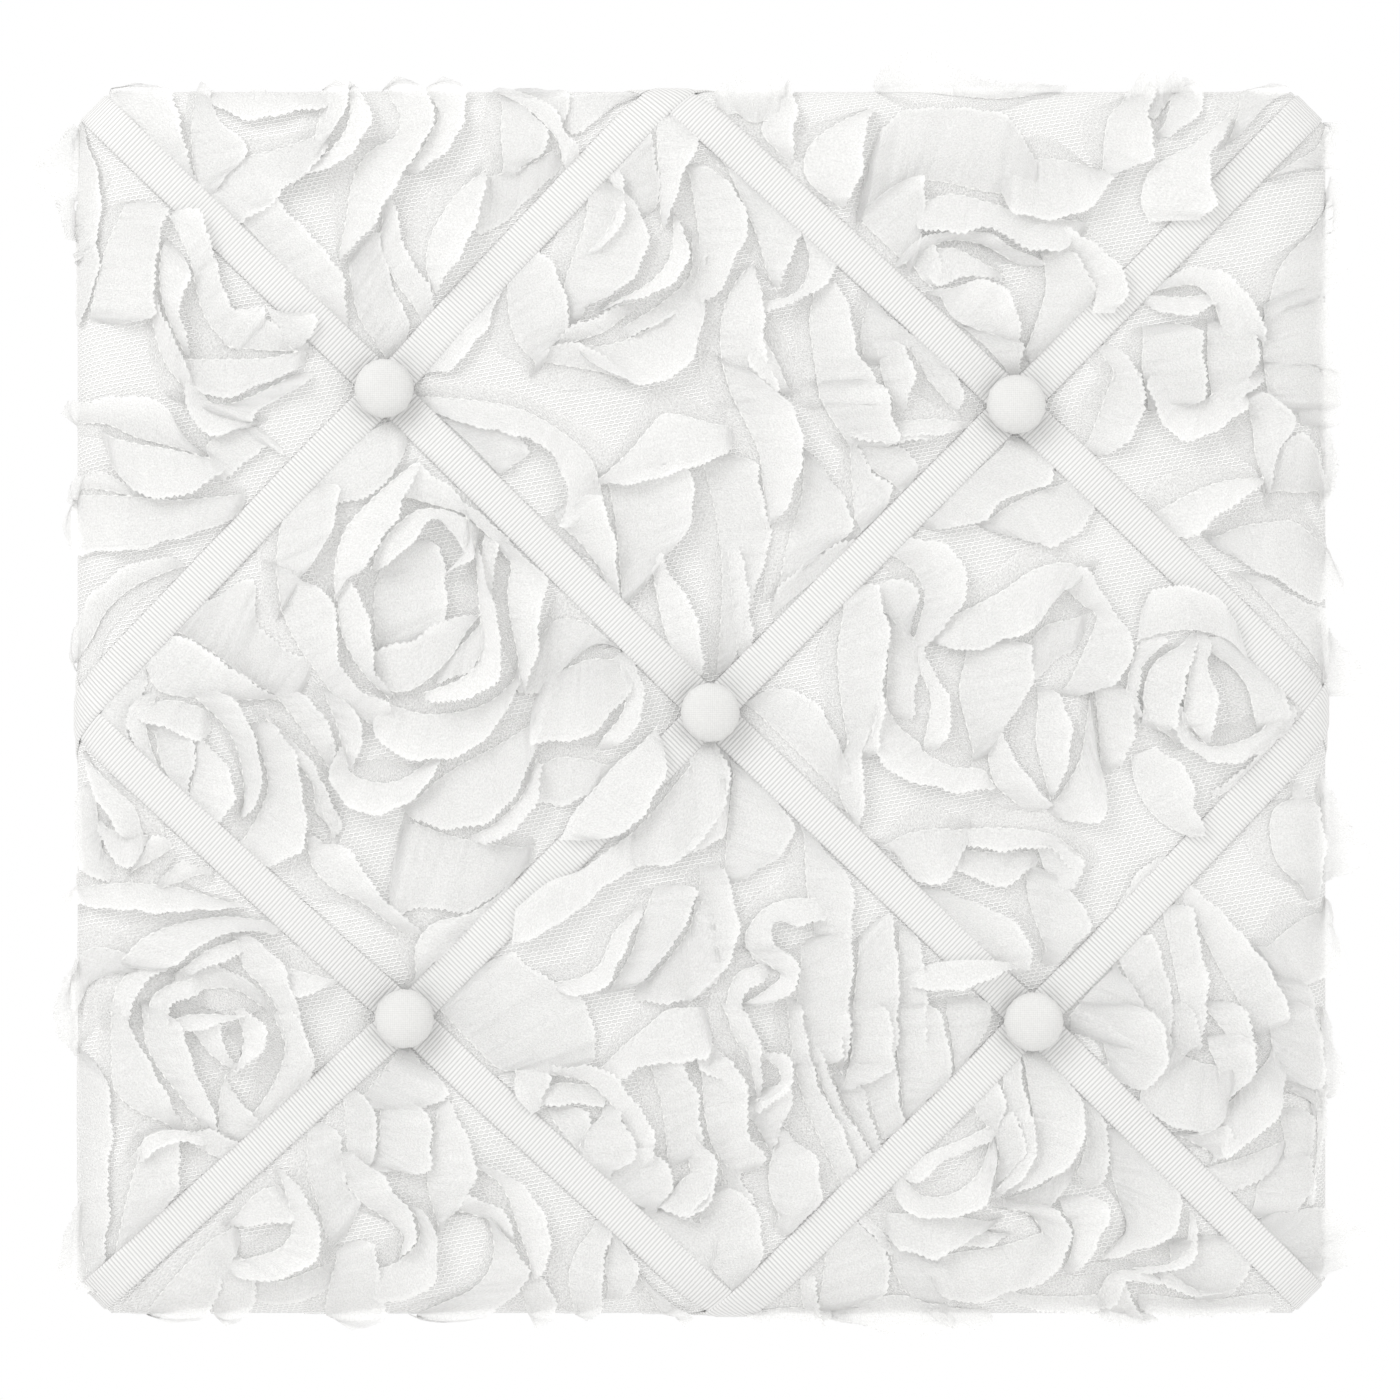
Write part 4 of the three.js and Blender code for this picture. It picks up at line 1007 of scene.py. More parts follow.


# Chiffon petals. Each is a strip between its seam, sewn to the net, and its free pinked edge. Both are
# traced in photograph pixels, across, down, across, down. Then come the heights of the two edges
# in millimetres.

PETALS = [
    # Left edge, above the ribbon
    ([80, 425, 112, 427, 142, 440, 180, 450, 212, 460],
     [78, 405, 118, 400, 158, 402, 176, 416, 192, 442], 1.0, 3.5),
    ([118, 440, 140, 446, 180, 453, 215, 461],
     [130, 482, 146, 497, 178, 501, 203, 493, 225, 474], 2.0, 5.0),
    ([80, 496, 130, 498, 180, 502, 236, 498],
     [80, 556, 120, 552, 160, 548, 196, 537, 232, 524], 1.0, 3.0),
    ([80, 500, 86, 490, 110, 492, 136, 498],
     [80, 478, 96, 474, 118, 477, 134, 488], 1.0, 2.5),
    ([255, 424, 240, 418, 215, 405, 204, 382],
     [245, 432, 225, 440, 205, 430, 192, 400], 1.0, 4.0),
    ([215, 461, 212, 448, 232, 432, 250, 428],
     [232, 478, 250, 466, 270, 450, 284, 456], 1.0, 2.5),
    ([80, 660, 96, 640, 112, 612, 140, 588, 176, 572],
     [80, 625, 90, 602, 104, 588, 128, 570, 168, 560], 1.0, 2.5),
    # Left outer petals of the big rose
    ([291, 508, 283, 540, 282, 575, 286, 610],
     [344, 492, 340, 520, 322, 560, 303, 582], 1.0, 3.5),
    ([282, 575, 287, 612, 302, 645, 322, 674, 346, 704, 372, 722],
     [306, 582, 336, 598, 343, 628, 345, 660, 358, 686, 392, 702], 1.0, 5.0),
    ([326, 478, 350, 452, 372, 434, 396, 422],
     [350, 506, 370, 498, 386, 488, 402, 468], 1.0, 3.0),
    ([186, 634, 215, 650, 246, 675, 284, 697],
     [216, 600, 258, 582, 264, 626, 312, 662], 0.6, 1.4),
    ([150, 662, 164, 690, 200, 698, 240, 700, 280, 699],
     [180, 634, 206, 646, 231, 664, 256, 682, 285, 698], 1.0, 4.5),
    ([152, 660, 128, 687, 106, 713, 124, 734, 150, 760],
     [152, 668, 149, 692, 138, 718, 135, 738, 154, 762], 0.5, 1.0),
    # Big rose, from its outside in
    ([395, 705, 430, 714, 470, 710, 498, 698, 516, 680],
     [383, 738, 404, 755, 430, 761, 466, 752, 492, 734, 522, 690], 1.5, 4.0),
    ([499, 550, 513, 565, 510, 592, 513, 620, 519, 650, 522, 678],
     [520, 552, 547, 580, 543, 612, 542, 640, 538, 664, 529, 686], 2.0, 6.5),
    ([478, 545, 480, 572, 482, 605, 485, 640, 480, 664, 462, 680, 430, 692],
     [482, 548, 491, 588, 501, 618, 505, 652, 499, 680, 478, 697, 450, 703, 428, 697],
     3.0, 8.0),
    ([378, 664, 388, 688, 412, 691, 436, 676, 456, 655, 470, 632, 483, 616],
     [376, 650, 398, 646, 420, 640, 440, 626, 462, 620, 480, 614], 3.0, 6.0),
    ([340, 598, 340, 566, 350, 532, 372, 506, 398, 482, 423, 462],
     [352, 582, 374, 566, 387, 541, 404, 520, 412, 494, 425, 465], 3.0, 8.0),
    ([342, 600, 345, 628, 354, 652, 372, 678, 392, 697],
     [358, 586, 369, 602, 374, 625, 379, 655, 384, 676, 398, 694], 3.0, 8.0),
    ([376, 570, 386, 546, 405, 524, 425, 512, 450, 513, 470, 521],
     [380, 574, 400, 560, 420, 541, 440, 523, 455, 535, 468, 552], 4.0, 7.0),
    ([412, 500, 440, 508, 466, 516, 482, 530, 500, 546],
     [424, 466, 446, 486, 470, 506, 490, 522, 512, 540], 3.0, 4.5),
    ([388, 556, 379, 590, 378, 620, 380, 646],
     [444, 552, 448, 575, 450, 602, 448, 626], 0.8, 2.6),
    ([486, 545, 484, 570, 487, 590], [499, 550, 497, 575, 497, 600], 3.0, 4.0),
    ([470, 520, 474, 535, 476, 548], [478, 548, 476, 562, 450, 574], 4.0, 7.0),
    ([456, 655, 470, 640, 484, 624], [446, 682, 470, 672, 484, 655], 2.5, 4.0),
    # Upper right of the long ribbon
    ([422, 399, 470, 403, 520, 412, 560, 433, 592, 462, 604, 500],
     [442, 418, 490, 433, 535, 445, 560, 466, 570, 498, 562, 526], 1.5, 5.0),
    ([562, 528, 582, 545, 604, 574], [604, 500, 614, 540, 622, 598], 2.0, 5.5),
    ([450, 426, 478, 452, 500, 476], [474, 428, 516, 438, 532, 455, 504, 476], 1.0, 3.0),
    ([604, 479, 630, 455, 650, 431, 668, 417, 716, 428],
     [612, 487, 640, 486, 666, 479, 692, 470, 722, 462], 2.0, 5.0),
    ([610, 488, 616, 520, 620, 560, 623, 600],
     [692, 474, 694, 502, 688, 532, 664, 560], 1.0, 3.5),
    ([652, 562, 658, 600, 668, 640, 688, 678],
     [664, 558, 680, 590, 695, 615, 701, 645, 704, 682], 2.0, 5.5),
    # Between the big rose and the middle button
    ([540, 640, 560, 620, 590, 625, 620, 650],
     [520, 690, 545, 690, 575, 660, 600, 640], 0.5, 1.5),
    ([560, 672, 590, 660, 612, 660], [536, 742, 580, 738, 604, 724, 630, 694], 1.0, 3.5),
    ([622, 668, 628, 690, 622, 715, 606, 735], [638, 668, 644, 692, 640, 718, 630, 738], 2.5, 5.0),
    # Rose at the left edge, under the lower left ribbon too
    ([160, 702, 152, 722, 158, 750, 168, 774], [138, 706, 133, 724, 142, 746, 158, 766], 1.0, 3.5),
    ([158, 702, 180, 700, 202, 706], [150, 722, 172, 728, 202, 742], 1.0, 3.5),
    ([162, 736, 166, 760, 182, 790], [176, 728, 196, 736, 201, 760, 194, 796], 1.0, 2.5),
    ([201, 740, 202, 760, 198, 780, 194, 800],
     [207, 736, 225, 754, 238, 777, 241, 800, 224, 821], 2.0, 6.0),
    ([204, 700, 232, 728, 246, 760, 250, 796],
     [240, 700, 256, 722, 263, 746, 268, 780, 262, 801, 246, 817], 1.5, 4.5),
    ([262, 738, 273, 780, 266, 808, 250, 836],
     [284, 728, 300, 755, 310, 795, 311, 838, 301, 853, 271, 864], 1.0, 4.0),
    ([273, 720, 295, 752, 317, 783, 328, 812],
     [283, 724, 307, 750, 327, 777, 343, 810], 1.5, 5.0),
    ([284, 700, 300, 720, 318, 745, 332, 765],
     [316, 700, 330, 722, 340, 742, 340, 762], 0.8, 1.6),
    ([318, 786, 321, 812, 336, 820], [340, 812, 346, 822, 334, 838], 1.0, 2.5),
    ([332, 702, 341, 724, 347, 748], [360, 712, 367, 735, 358, 766], 1.0, 3.5),
    ([351, 750, 352, 768, 366, 778, 388, 782, 408, 777, 430, 762],
     [345, 746, 337, 768, 341, 790, 356, 807, 384, 813, 414, 800, 446, 760], 1.5, 5.0),
    ([312, 838, 318, 866, 340, 888, 366, 900, 398, 925],
     [328, 841, 350, 844, 362, 858, 378, 882, 398, 905, 420, 925], 1.5, 5.0),
    # Left edge, below the ribbon
    ([96, 764, 120, 787, 140, 806, 148, 830], [88, 758, 92, 775, 105, 800, 120, 826], 1.0, 3.5),
    ([112, 826, 130, 832, 152, 834], [106, 831, 116, 852, 137, 867, 157, 838], 1.5, 4.0),
    ([101, 800, 104, 826, 108, 850], [78, 796, 78, 836, 84, 868, 110, 880], 1.0, 2.0),
    ([170, 885, 188, 879, 203, 873], [179, 866, 190, 857, 201, 862], 1.0, 3.5),
    ([142, 867, 160, 858, 179, 846], [150, 850, 158, 836, 176, 840], 1.5, 4.0),
    ([80, 886, 130, 881, 180, 885, 222, 896], [80, 905, 130, 907, 190, 909, 246, 905], 0.8, 3.5),
    ([80, 955, 100, 945, 130, 950, 150, 960], [80, 1010, 92, 985, 106, 975, 122, 970], 0.8, 2.0),
    # Rose at the lower left
    ([130, 955, 150, 935, 185, 921, 230, 914, 268, 918],
     [184, 960, 200, 948, 222, 936, 250, 927, 277, 930], 1.5, 5.0),
    ([188, 966, 214, 947, 240, 938], [204, 968, 228, 960, 244, 952], 2.0, 3.5),
    ([242, 940, 250, 966, 268, 984, 282, 1005, 292, 1040, 296, 1062],
     [270, 944, 290, 965, 300, 990, 308, 1020, 314, 1050, 316, 1066], 1.5, 5.0),
    ([298, 966, 318, 972, 334, 976], [300, 991, 312, 993, 328, 984], 1.0, 3.0),
    ([80, 960, 80, 1000, 80, 1052], [79, 962, 63, 990, 58, 1016, 66, 1040, 79, 1056], 1.0, 2.5),
    # Between the big rose and the lower left button
    ([420, 798, 445, 776, 475, 758, 505, 742, 536, 722],
     [424, 818, 450, 828, 478, 825, 505, 809, 524, 781, 539, 748], 0.8, 3.0),
    ([484, 830, 500, 820, 520, 800, 532, 780, 538, 760],
     [491, 839, 509, 835, 528, 819, 539, 800, 544, 764], 1.0, 4.5),
    ([420, 822, 450, 833, 480, 840, 522, 846], [398, 918, 428, 905, 470, 909, 514, 880], 0.6, 1.2),
    ([544, 764, 562, 756, 592, 760, 606, 764], [540, 802, 560, 806, 586, 794, 602, 780], 0.6, 1.2),
    ([405, 985, 418, 974, 418, 950, 424, 933, 440, 919, 472, 911, 500, 893, 512, 878],
     [414, 985, 432, 968, 447, 953, 456, 941, 480, 937, 500, 926, 514, 905, 517, 885], 2.0, 4.5),
    # Petals that lie over the rising ribbon
    ([562, 838, 575, 812, 598, 785, 618, 762, 640, 745, 656, 728],
     [592, 839, 612, 834, 642, 818, 653, 798, 668, 770, 662, 740], -2.5, 5.0),
    ([518, 906, 550, 880, 582, 868, 610, 848, 632, 832],
     [514, 941, 544, 932, 572, 912, 604, 886, 642, 864], -2.5, 3.5),
    # Between the middle and lower left buttons
    ([632, 833, 660, 803, 690, 766, 715, 745], [642, 864, 668, 862, 694, 850, 722, 836], 0.8, 3.0),
    ([562, 978, 582, 974, 600, 962, 608, 945, 616, 928, 630, 914],
     [576, 991, 598, 986, 613, 975, 623, 955, 631, 935, 641, 916], 1.0, 4.5),
    ([616, 978, 632, 950, 640, 925, 650, 898], [652, 970, 672, 942, 690, 912, 698, 892], 1.0, 3.0),
    ([652, 974, 680, 942, 702, 900], [645, 998, 690, 997, 716, 980], 0.6, 1.5),
    # Upper left corner, left of the ribbon
    ([80, 130, 81, 170, 78, 200, 76, 242],
     [78, 128, 62, 145, 42, 165, 40, 185, 58, 205, 70, 242], 0.8, 1.5),
    ([82, 136, 81, 175, 77, 220, 74, 250], [92, 146, 104, 180, 107, 215, 101, 242], 1.0, 2.5),
    ([74, 246, 75, 280, 78, 326], [101, 240, 105, 262, 99, 290, 84, 328], 0.6, 1.5),
    ([126, 220, 112, 250, 102, 285, 96, 309], [174, 220, 166, 245, 163, 278, 160, 318], 1.0, 4.5),
    ([157, 318, 163, 346, 173, 370, 192, 394], [164, 300, 173, 328, 185, 352, 195, 374], 1.0, 4.0),
    ([167, 258, 166, 290, 173, 320, 188, 352], [198, 284, 189, 300, 187, 322, 198, 351], 2.0, 4.0),
    ([176, 222, 186, 242, 196, 264, 200, 284], [182, 216, 202, 217, 214, 237, 224, 266], -2.0, 4.5),
    ([200, 284, 205, 306, 214, 328, 235, 351], [224, 268, 232, 300, 240, 313, 268, 312], 1.0, 3.0),
    ([238, 351, 266, 354, 300, 355], [242, 314, 276, 326, 306, 346], 1.0, 2.0),
    ([272, 312, 282, 336, 296, 352], [292, 318, 320, 318, 317, 336, 308, 350], -1.5, 3.0),
    ([196, 363, 230, 363, 270, 362, 300, 356], [197, 392, 225, 400, 255, 394, 296, 376], 1.0, 2.0),
    ([200, 402, 230, 408, 260, 398, 288, 384], [257, 424, 268, 412, 292, 398, 316, 382], 1.0, 3.0),
    # Top edge, between the falling ribbon and the upper left one
    ([112, 102, 140, 130, 170, 160, 198, 190], [178, 96, 184, 124, 190, 150, 199, 180], 0.6, 2.5),
    ([198, 100, 196, 140, 200, 180, 206, 197], [214, 98, 222, 122, 240, 140, 251, 160, 232, 181],
     0.6, 1.8),
    ([220, 94, 258, 92, 296, 94, 322, 97], [224, 112, 246, 125, 272, 124, 300, 118, 323, 112], 1.0, 4.0),
    ([322, 98, 323, 120, 318, 142, 310, 172], [351, 98, 349, 116, 342, 132, 326, 152], 1.0, 3.0),
    ([352, 98, 353, 122, 346, 142, 330, 160, 308, 178, 292, 192],
     [364, 98, 375, 116, 374, 134, 362, 154, 340, 172, 312, 184, 294, 194], 2.0, 5.5),
    ([204, 200, 225, 186, 240, 168, 256, 161, 285, 154, 318, 142],
     [236, 232, 262, 218, 284, 205, 293, 194, 312, 180, 328, 158], 0.8, 3.0),
    ([246, 226, 268, 250, 300, 285, 335, 318], [284, 207, 310, 234, 332, 260, 346, 280, 352, 322],
     0.8, 3.0),
    ([388, 92, 396, 108, 403, 122, 398, 142, 376, 155, 362, 172, 354, 196, 350, 225, 342, 266],
     [424, 92, 433, 104, 440, 118, 428, 146, 414, 170, 398, 196, 384, 224, 366, 242, 344, 268],
     1.0, 5.5),
    ([428, 94, 441, 118, 430, 146, 416, 168], [468, 94, 466, 118, 461, 142, 450, 160, 430, 173],
     1.5, 4.0),
    ([386, 226, 384, 255, 398, 285, 420, 315], [395, 204, 404, 232, 412, 260, 432, 290, 436, 304],
     1.0, 3.0),
    ([354, 280, 362, 320, 384, 354], [384, 240, 392, 280, 412, 322], 0.6, 1.2),
    ([486, 177, 462, 196, 441, 226, 431, 250, 430, 275, 436, 297],
     [490, 180, 485, 208, 479, 236, 462, 262, 450, 280, 440, 299], 1.0, 5.0),
    ([490, 182, 506, 179, 530, 171, 548, 160], [484, 238, 500, 232, 522, 212, 552, 186], 0.6, 1.0),
    ([504, 112, 503, 140, 506, 172], [536, 121, 549, 140, 542, 160, 524, 174], 1.0, 3.0),
    ([506, 99, 527, 112, 546, 130, 560, 148, 564, 166],
     [520, 96, 549, 108, 563, 125, 568, 137, 578, 152], 2.0, 4.5),
    ([526, 96, 548, 108, 562, 128], [545, 94, 572, 98, 564, 134], 1.0, 2.5),
    ([575, 98, 604, 95, 638, 94], [576, 142, 594, 128, 616, 110], 0.6, 1.2),
    # Under the top of the upper left ribbon, to the middle of the board
    ([500, 287, 476, 312, 452, 340, 432, 366], [505, 290, 490, 332, 477, 348, 457, 372, 438, 373],
     0.5, 3.0),
    ([509, 284, 511, 318, 519, 346, 537, 366],
     [540, 254, 556, 272, 565, 296, 570, 322, 567, 338, 552, 352], 1.0, 3.5),
    ([590, 196, 586, 228, 576, 258, 566, 290, 571, 317],
     [638, 212, 647, 236, 645, 262, 634, 284, 612, 300, 588, 313], 1.0, 4.0),
    ([610, 178, 617, 202, 612, 230, 592, 256], [624, 186, 627, 212, 621, 234, 604, 252], 2.5, 5.0),
    ([608, 182, 618, 198, 622, 215], [652, 132, 657, 166, 660, 204], 0.8, 1.8),
    ([657, 122, 658, 160, 660, 200, 662, 231],
     [690, 128, 698, 146, 690, 172, 680, 192, 672, 212, 665, 233], 1.0, 4.5),
    ([674, 232, 672, 256, 662, 276, 642, 293, 612, 308],
     [682, 233, 688, 254, 684, 276, 668, 293, 636, 306, 606, 315], 2.0, 6.0),
    ([692, 250, 690, 280, 664, 306, 630, 328], [706, 262, 704, 300, 676, 318, 640, 338], 1.0, 1.8),
    ([580, 348, 602, 350, 632, 342, 662, 325, 692, 300],
     [602, 372, 626, 383, 649, 391, 673, 382, 692, 362, 703, 326], 1.0, 4.0),
    ([566, 350, 582, 344, 606, 336, 624, 322], [562, 341, 577, 331, 596, 322, 614, 312], 1.0, 3.0),
    ([545, 366, 575, 371, 606, 377, 632, 386], [556, 349, 580, 350, 604, 360, 630, 380], 1.0, 3.0),
    # Left of the upper right ribbon
    ([690, 182, 696, 220, 700, 262, 692, 300],
     [716, 180, 735, 196, 748, 222, 742, 250, 730, 272, 722, 292, 703, 310], 1.0, 4.0),
    ([727, 174, 746, 216, 758, 246, 766, 276, 775, 294],
     [768, 200, 798, 227, 796, 246, 788, 268, 777, 295], 1.0, 4.0),
    ([800, 236, 808, 262, 804, 285, 790, 300, 764, 306],
     [820, 237, 838, 258, 832, 276, 812, 299, 788, 310, 765, 319], 1.5, 5.5),
    ([752, 268, 736, 286, 723, 315, 720, 345, 723, 372, 731, 398],
     [756, 271, 759, 290, 763, 315, 763, 340, 766, 366, 780, 392], 1.0, 4.5),
    ([764, 346, 774, 362, 784, 386], [750, 374, 757, 380, 768, 388], 3.0, 5.0),
    ([812, 300, 808, 325, 811, 352, 818, 400], [840, 296, 848, 316, 853, 342, 857, 362, 884, 398],
     1.0, 5.0),
    ([866, 310, 859, 334, 861, 356], [886, 320, 912, 343, 904, 353], 0.6, 1.2),
    ([876, 358, 881, 384, 890, 402], [904, 354, 912, 376, 906, 402], 1.0, 2.5),
    ([906, 352, 922, 374, 940, 398], [930, 347, 946, 371, 960, 396], 0.6, 2.5),
    # Top edge, between the upper right ribbon and the rising one
    ([737, 118, 750, 128, 766, 126], [721, 87, 737, 77, 758, 73, 777, 79], 1.0, 2.0),
    ([778, 96, 765, 120, 762, 140, 776, 156], [794, 98, 796, 118, 790, 140, 793, 158], 1.0, 3.5),
    ([868, 113, 835, 130, 812, 147, 803, 166, 808, 188, 838, 213],
     [871, 114, 863, 136, 862, 162, 859, 182, 851, 200, 843, 212], 1.0, 5.0),
    ([864, 222, 890, 201, 918, 187, 944, 188, 982, 197, 1020, 200],
     [882, 132, 904, 116, 945, 112, 1000, 118, 1016, 140, 1032, 165], 0.6, 1.8),
    ([876, 94, 920, 94, 960, 99, 1000, 102, 1044, 96],
     [871, 90, 885, 70, 902, 57, 932, 56, 957, 71, 990, 84, 1060, 88], 1.0, 1.6),
    ([862, 229, 884, 250, 903, 268], [923, 184, 921, 210, 918, 240], 0.8, 3.5),
    ([924, 206, 950, 200, 985, 208, 1030, 222, 1070, 226],
     [922, 236, 952, 240, 985, 236, 1012, 250, 1050, 259], 1.5, 6.0),
    ([903, 268, 925, 255, 946, 246, 978, 250, 1004, 264],
     [911, 250, 932, 240, 955, 238, 988, 240, 1012, 256, 1040, 267], 2.0, 5.0),
    ([906, 262, 918, 282, 928, 291], [932, 250, 937, 268, 934, 289], 1.0, 3.5),
    ([936, 254, 952, 254, 976, 266, 999, 280], [936, 290, 956, 284, 978, 281, 998, 286], 2.0, 3.5),
    ([938, 302, 950, 322, 975, 334, 1004, 342], [946, 294, 976, 287, 1001, 294, 1013, 320, 1018, 346],
     2.0, 6.0),
    ([966, 336, 985, 352, 1002, 370], [1002, 340, 1019, 348, 1018, 368], 1.0, 2.5),
    ([1040, 268, 1042, 292, 1036, 316, 1024, 350], [1072, 264, 1091, 292, 1084, 318, 1074, 336, 1046, 355],
     1.5, 5.0),
    ([1024, 354, 1028, 372, 1024, 398], [1050, 352, 1084, 330, 1082, 358, 1062, 380], 0.8, 2.0),
    ([1042, 262, 1068, 262, 1082, 276, 1091, 296, 1087, 318],
     [1062, 230, 1088, 250, 1114, 272, 1122, 296, 1110, 318], -2.0, 5.0),
    ([1012, 168, 1040, 164, 1070, 168, 1098, 176],
     [1012, 222, 1040, 226, 1068, 222, 1090, 208, 1104, 190, 1120, 178], 0.8, 4.0),
    ([1128, 100, 1108, 118, 1101, 138, 1098, 176], [1152, 95, 1144, 122, 1147, 150, 1145, 168, 1112, 179],
     1.0, 4.5),
    ([1134, 112, 1150, 124, 1160, 112, 1172, 96],
     [1128, 96, 1140, 76, 1152, 73, 1160, 86, 1175, 74, 1184, 90], 1.0, 2.0),
    ([1168, 96, 1166, 112, 1160, 130], [1200, 94, 1200, 108, 1190, 124, 1170, 137], 1.0, 2.5),
    ([1224, 121, 1190, 148, 1160, 165, 1144, 178, 1136, 206, 1144, 227],
     [1227, 123, 1216, 146, 1204, 164, 1202, 188, 1210, 211, 1194, 226], -1.5, 5.0),
    ([1236, 100, 1234, 118, 1226, 141], [1286, 96, 1264, 108, 1244, 130], 0.6, 2.0),
    # Upper right corner and the rose there
    ([1262, 184, 1290, 166, 1312, 152, 1322, 132], [1296, 174, 1322, 172, 1338, 170, 1346, 144], 0.8, 1.8),
    ([1325, 208, 1306, 236, 1284, 258, 1270, 280, 1262, 314],
     [1328, 182, 1346, 206, 1353, 236, 1350, 262, 1330, 290], 0.8, 2.5),
    ([1259, 322, 1257, 352, 1262, 400], [1316, 292, 1324, 320, 1332, 346, 1340, 402], 0.8, 2.0),
    ([1160, 293, 1188, 290, 1206, 304, 1214, 326, 1224, 341, 1246, 336],
     [1166, 282, 1192, 271, 1218, 278, 1240, 300, 1256, 326, 1258, 348], 2.0, 4.5),
    ([1148, 300, 1170, 302, 1196, 300], [1158, 318, 1182, 321, 1213, 308], 2.0, 4.0),
    ([1138, 345, 1137, 370, 1142, 398], [1196, 338, 1200, 370, 1200, 398], 1.0, 3.0),
    ([1202, 338, 1202, 370, 1206, 396], [1252, 338, 1252, 366, 1238, 392], 1.0, 3.0),
    ([1100, 362, 1112, 380, 1108, 402], [1122, 360, 1134, 380, 1140, 402], 0.8, 3.0),
    # Above the middle button
    ([723, 370, 731, 398, 746, 428, 758, 456, 762, 486, 766, 529],
     [764, 388, 786, 406, 799, 428, 803, 448, 798, 474, 785, 510, 771, 526], 1.0, 5.0),
    ([704, 470, 716, 520, 722, 580, 718, 660], [758, 470, 768, 540, 752, 600, 738, 650], 0.5, 1.5),
    ([728, 556, 732, 600, 736, 642], [742, 552, 747, 600, 754, 636], 1.2, 3.0),
    ([803, 462, 800, 502, 788, 540, 778, 586], [826, 480, 846, 505, 850, 532, 818, 556], 0.6, 1.4),
    ([784, 606, 806, 588, 830, 568, 848, 552], [778, 588, 798, 572, 818, 556, 834, 546, 851, 541],
     0.6, 2.5),
    ([818, 396, 826, 416, 842, 440], [884, 394, 888, 414, 899, 440], 1.0, 4.5),
    ([850, 436, 874, 438, 900, 438, 920, 436], [846, 442, 870, 446, 900, 446, 926, 441], 2.5, 4.5),
    ([904, 424, 930, 422, 956, 424], [902, 440, 926, 440, 948, 436], 1.0, 3.0),
    ([852, 446, 870, 472, 888, 484], [882, 449, 905, 452, 913, 464], 1.0, 2.5),
    ([848, 446, 850, 482, 853, 520], [856, 448, 872, 476, 890, 487], 0.6, 2.0),
    ([926, 384, 940, 400, 952, 415], [957, 382, 961, 398, 955, 416], 1.0, 2.5),
    # Right of the middle button
    ([1000, 450, 960, 486, 930, 518], [1050, 470, 1044, 487, 1008, 499, 980, 522, 944, 530], 0.5, 2.0),
    ([985, 522, 1010, 505, 1040, 492, 1060, 486],
     [1010, 538, 1035, 546, 1050, 550, 1072, 536, 1087, 515], 0.6, 2.5),
    ([896, 560, 912, 574, 922, 596, 918, 618, 912, 638],
     [914, 541, 938, 546, 958, 562, 965, 582, 958, 604, 942, 626, 926, 644], 1.0, 5.0),
    ([868, 608, 884, 614, 901, 634], [880, 584, 900, 580, 916, 596, 909, 622], 1.5, 2.5),
    ([842, 612, 836, 650, 838, 690, 846, 742], [876, 590, 886, 628, 883, 662, 882, 702, 876, 746],
     1.0, 5.0),
    ([886, 622, 886, 660, 884, 700], [905, 632, 918, 650, 914, 690, 912, 712], 0.8, 2.5),
    ([914, 648, 918, 672, 928, 700, 922, 738], [922, 646, 924, 664, 938, 684, 949, 704, 944, 737],
     1.5, 4.5),
    ([926, 643, 946, 620, 975, 605, 1002, 590, 1028, 572, 1058, 564, 1078, 570],
     [930, 645, 952, 649, 972, 650, 1002, 642, 1026, 632, 1040, 614, 1060, 591], 1.5, 4.5),
    ([1061, 590, 1078, 606, 1092, 618, 1080, 650, 1064, 684],
     [1080, 571, 1098, 596, 1116, 622, 1130, 650, 1112, 680, 1092, 690], 1.0, 3.5),
    ([1026, 642, 1042, 626, 1068, 620], [1030, 682, 1048, 664, 1066, 652], 0.8, 1.5),
    ([962, 660, 956, 690, 962, 720, 970, 750], [1028, 650, 1030, 682, 1013, 706, 996, 736], 1.0, 3.5),
    # Rose with the dark heart, at the right edge
    ([1132, 641, 1160, 633, 1190, 631, 1222, 641, 1242, 661],
     [1136, 612, 1150, 590, 1185, 590, 1216, 602, 1234, 634], -1.5, 3.5),
    ([1120, 702, 1124, 672, 1132, 648], [1136, 712, 1133, 686, 1139, 662, 1162, 644], 1.5, 4.0),
    ([1138, 712, 1139, 686, 1150, 662, 1176, 645], [1170, 722, 1178, 695, 1182, 668, 1192, 645],
     2.0, 5.0),
    ([1176, 716, 1184, 670, 1190, 646], [1203, 720, 1212, 700, 1204, 678, 1203, 648], 3.0, 6.0),
    ([1203, 652, 1226, 668, 1241, 688, 1248, 716], [1222, 640, 1252, 662, 1276, 684, 1284, 712],
     2.0, 4.5),
    ([1277, 678, 1289, 700, 1290, 722], [1287, 690, 1300, 710, 1297, 724], 0.6, 2.0),
    # Right edge, above the ribbon
    ([1086, 440, 1100, 402, 1108, 382], [1112, 452, 1128, 436, 1139, 410, 1135, 380], 0.8, 3.0),
    ([1166, 384, 1176, 400, 1196, 404, 1222, 392],
     [1142, 392, 1150, 418, 1168, 438, 1186, 444, 1212, 432, 1238, 416], 1.0, 5.0),
    ([1206, 398, 1222, 384, 1238, 378], [1218, 414, 1238, 400, 1254, 386], 1.5, 3.5),
    ([1242, 410, 1247, 432, 1249, 456, 1257, 480], [1266, 401, 1288, 416, 1284, 438, 1270, 458, 1263, 489],
     1.0, 4.5),
    ([1262, 378, 1272, 396, 1292, 412], [1340, 378, 1343, 400, 1336, 421], 0.8, 2.0),
    ([1274, 493, 1292, 495, 1312, 492], [1282, 442, 1300, 436, 1313, 452, 1320, 476], 1.0, 3.0),
    ([1316, 438, 1321, 462, 1318, 494], [1322, 426, 1334, 456, 1334, 480, 1324, 500], 0.8, 1.6),
    ([1162, 508, 1182, 497, 1202, 488, 1226, 482, 1257, 480],
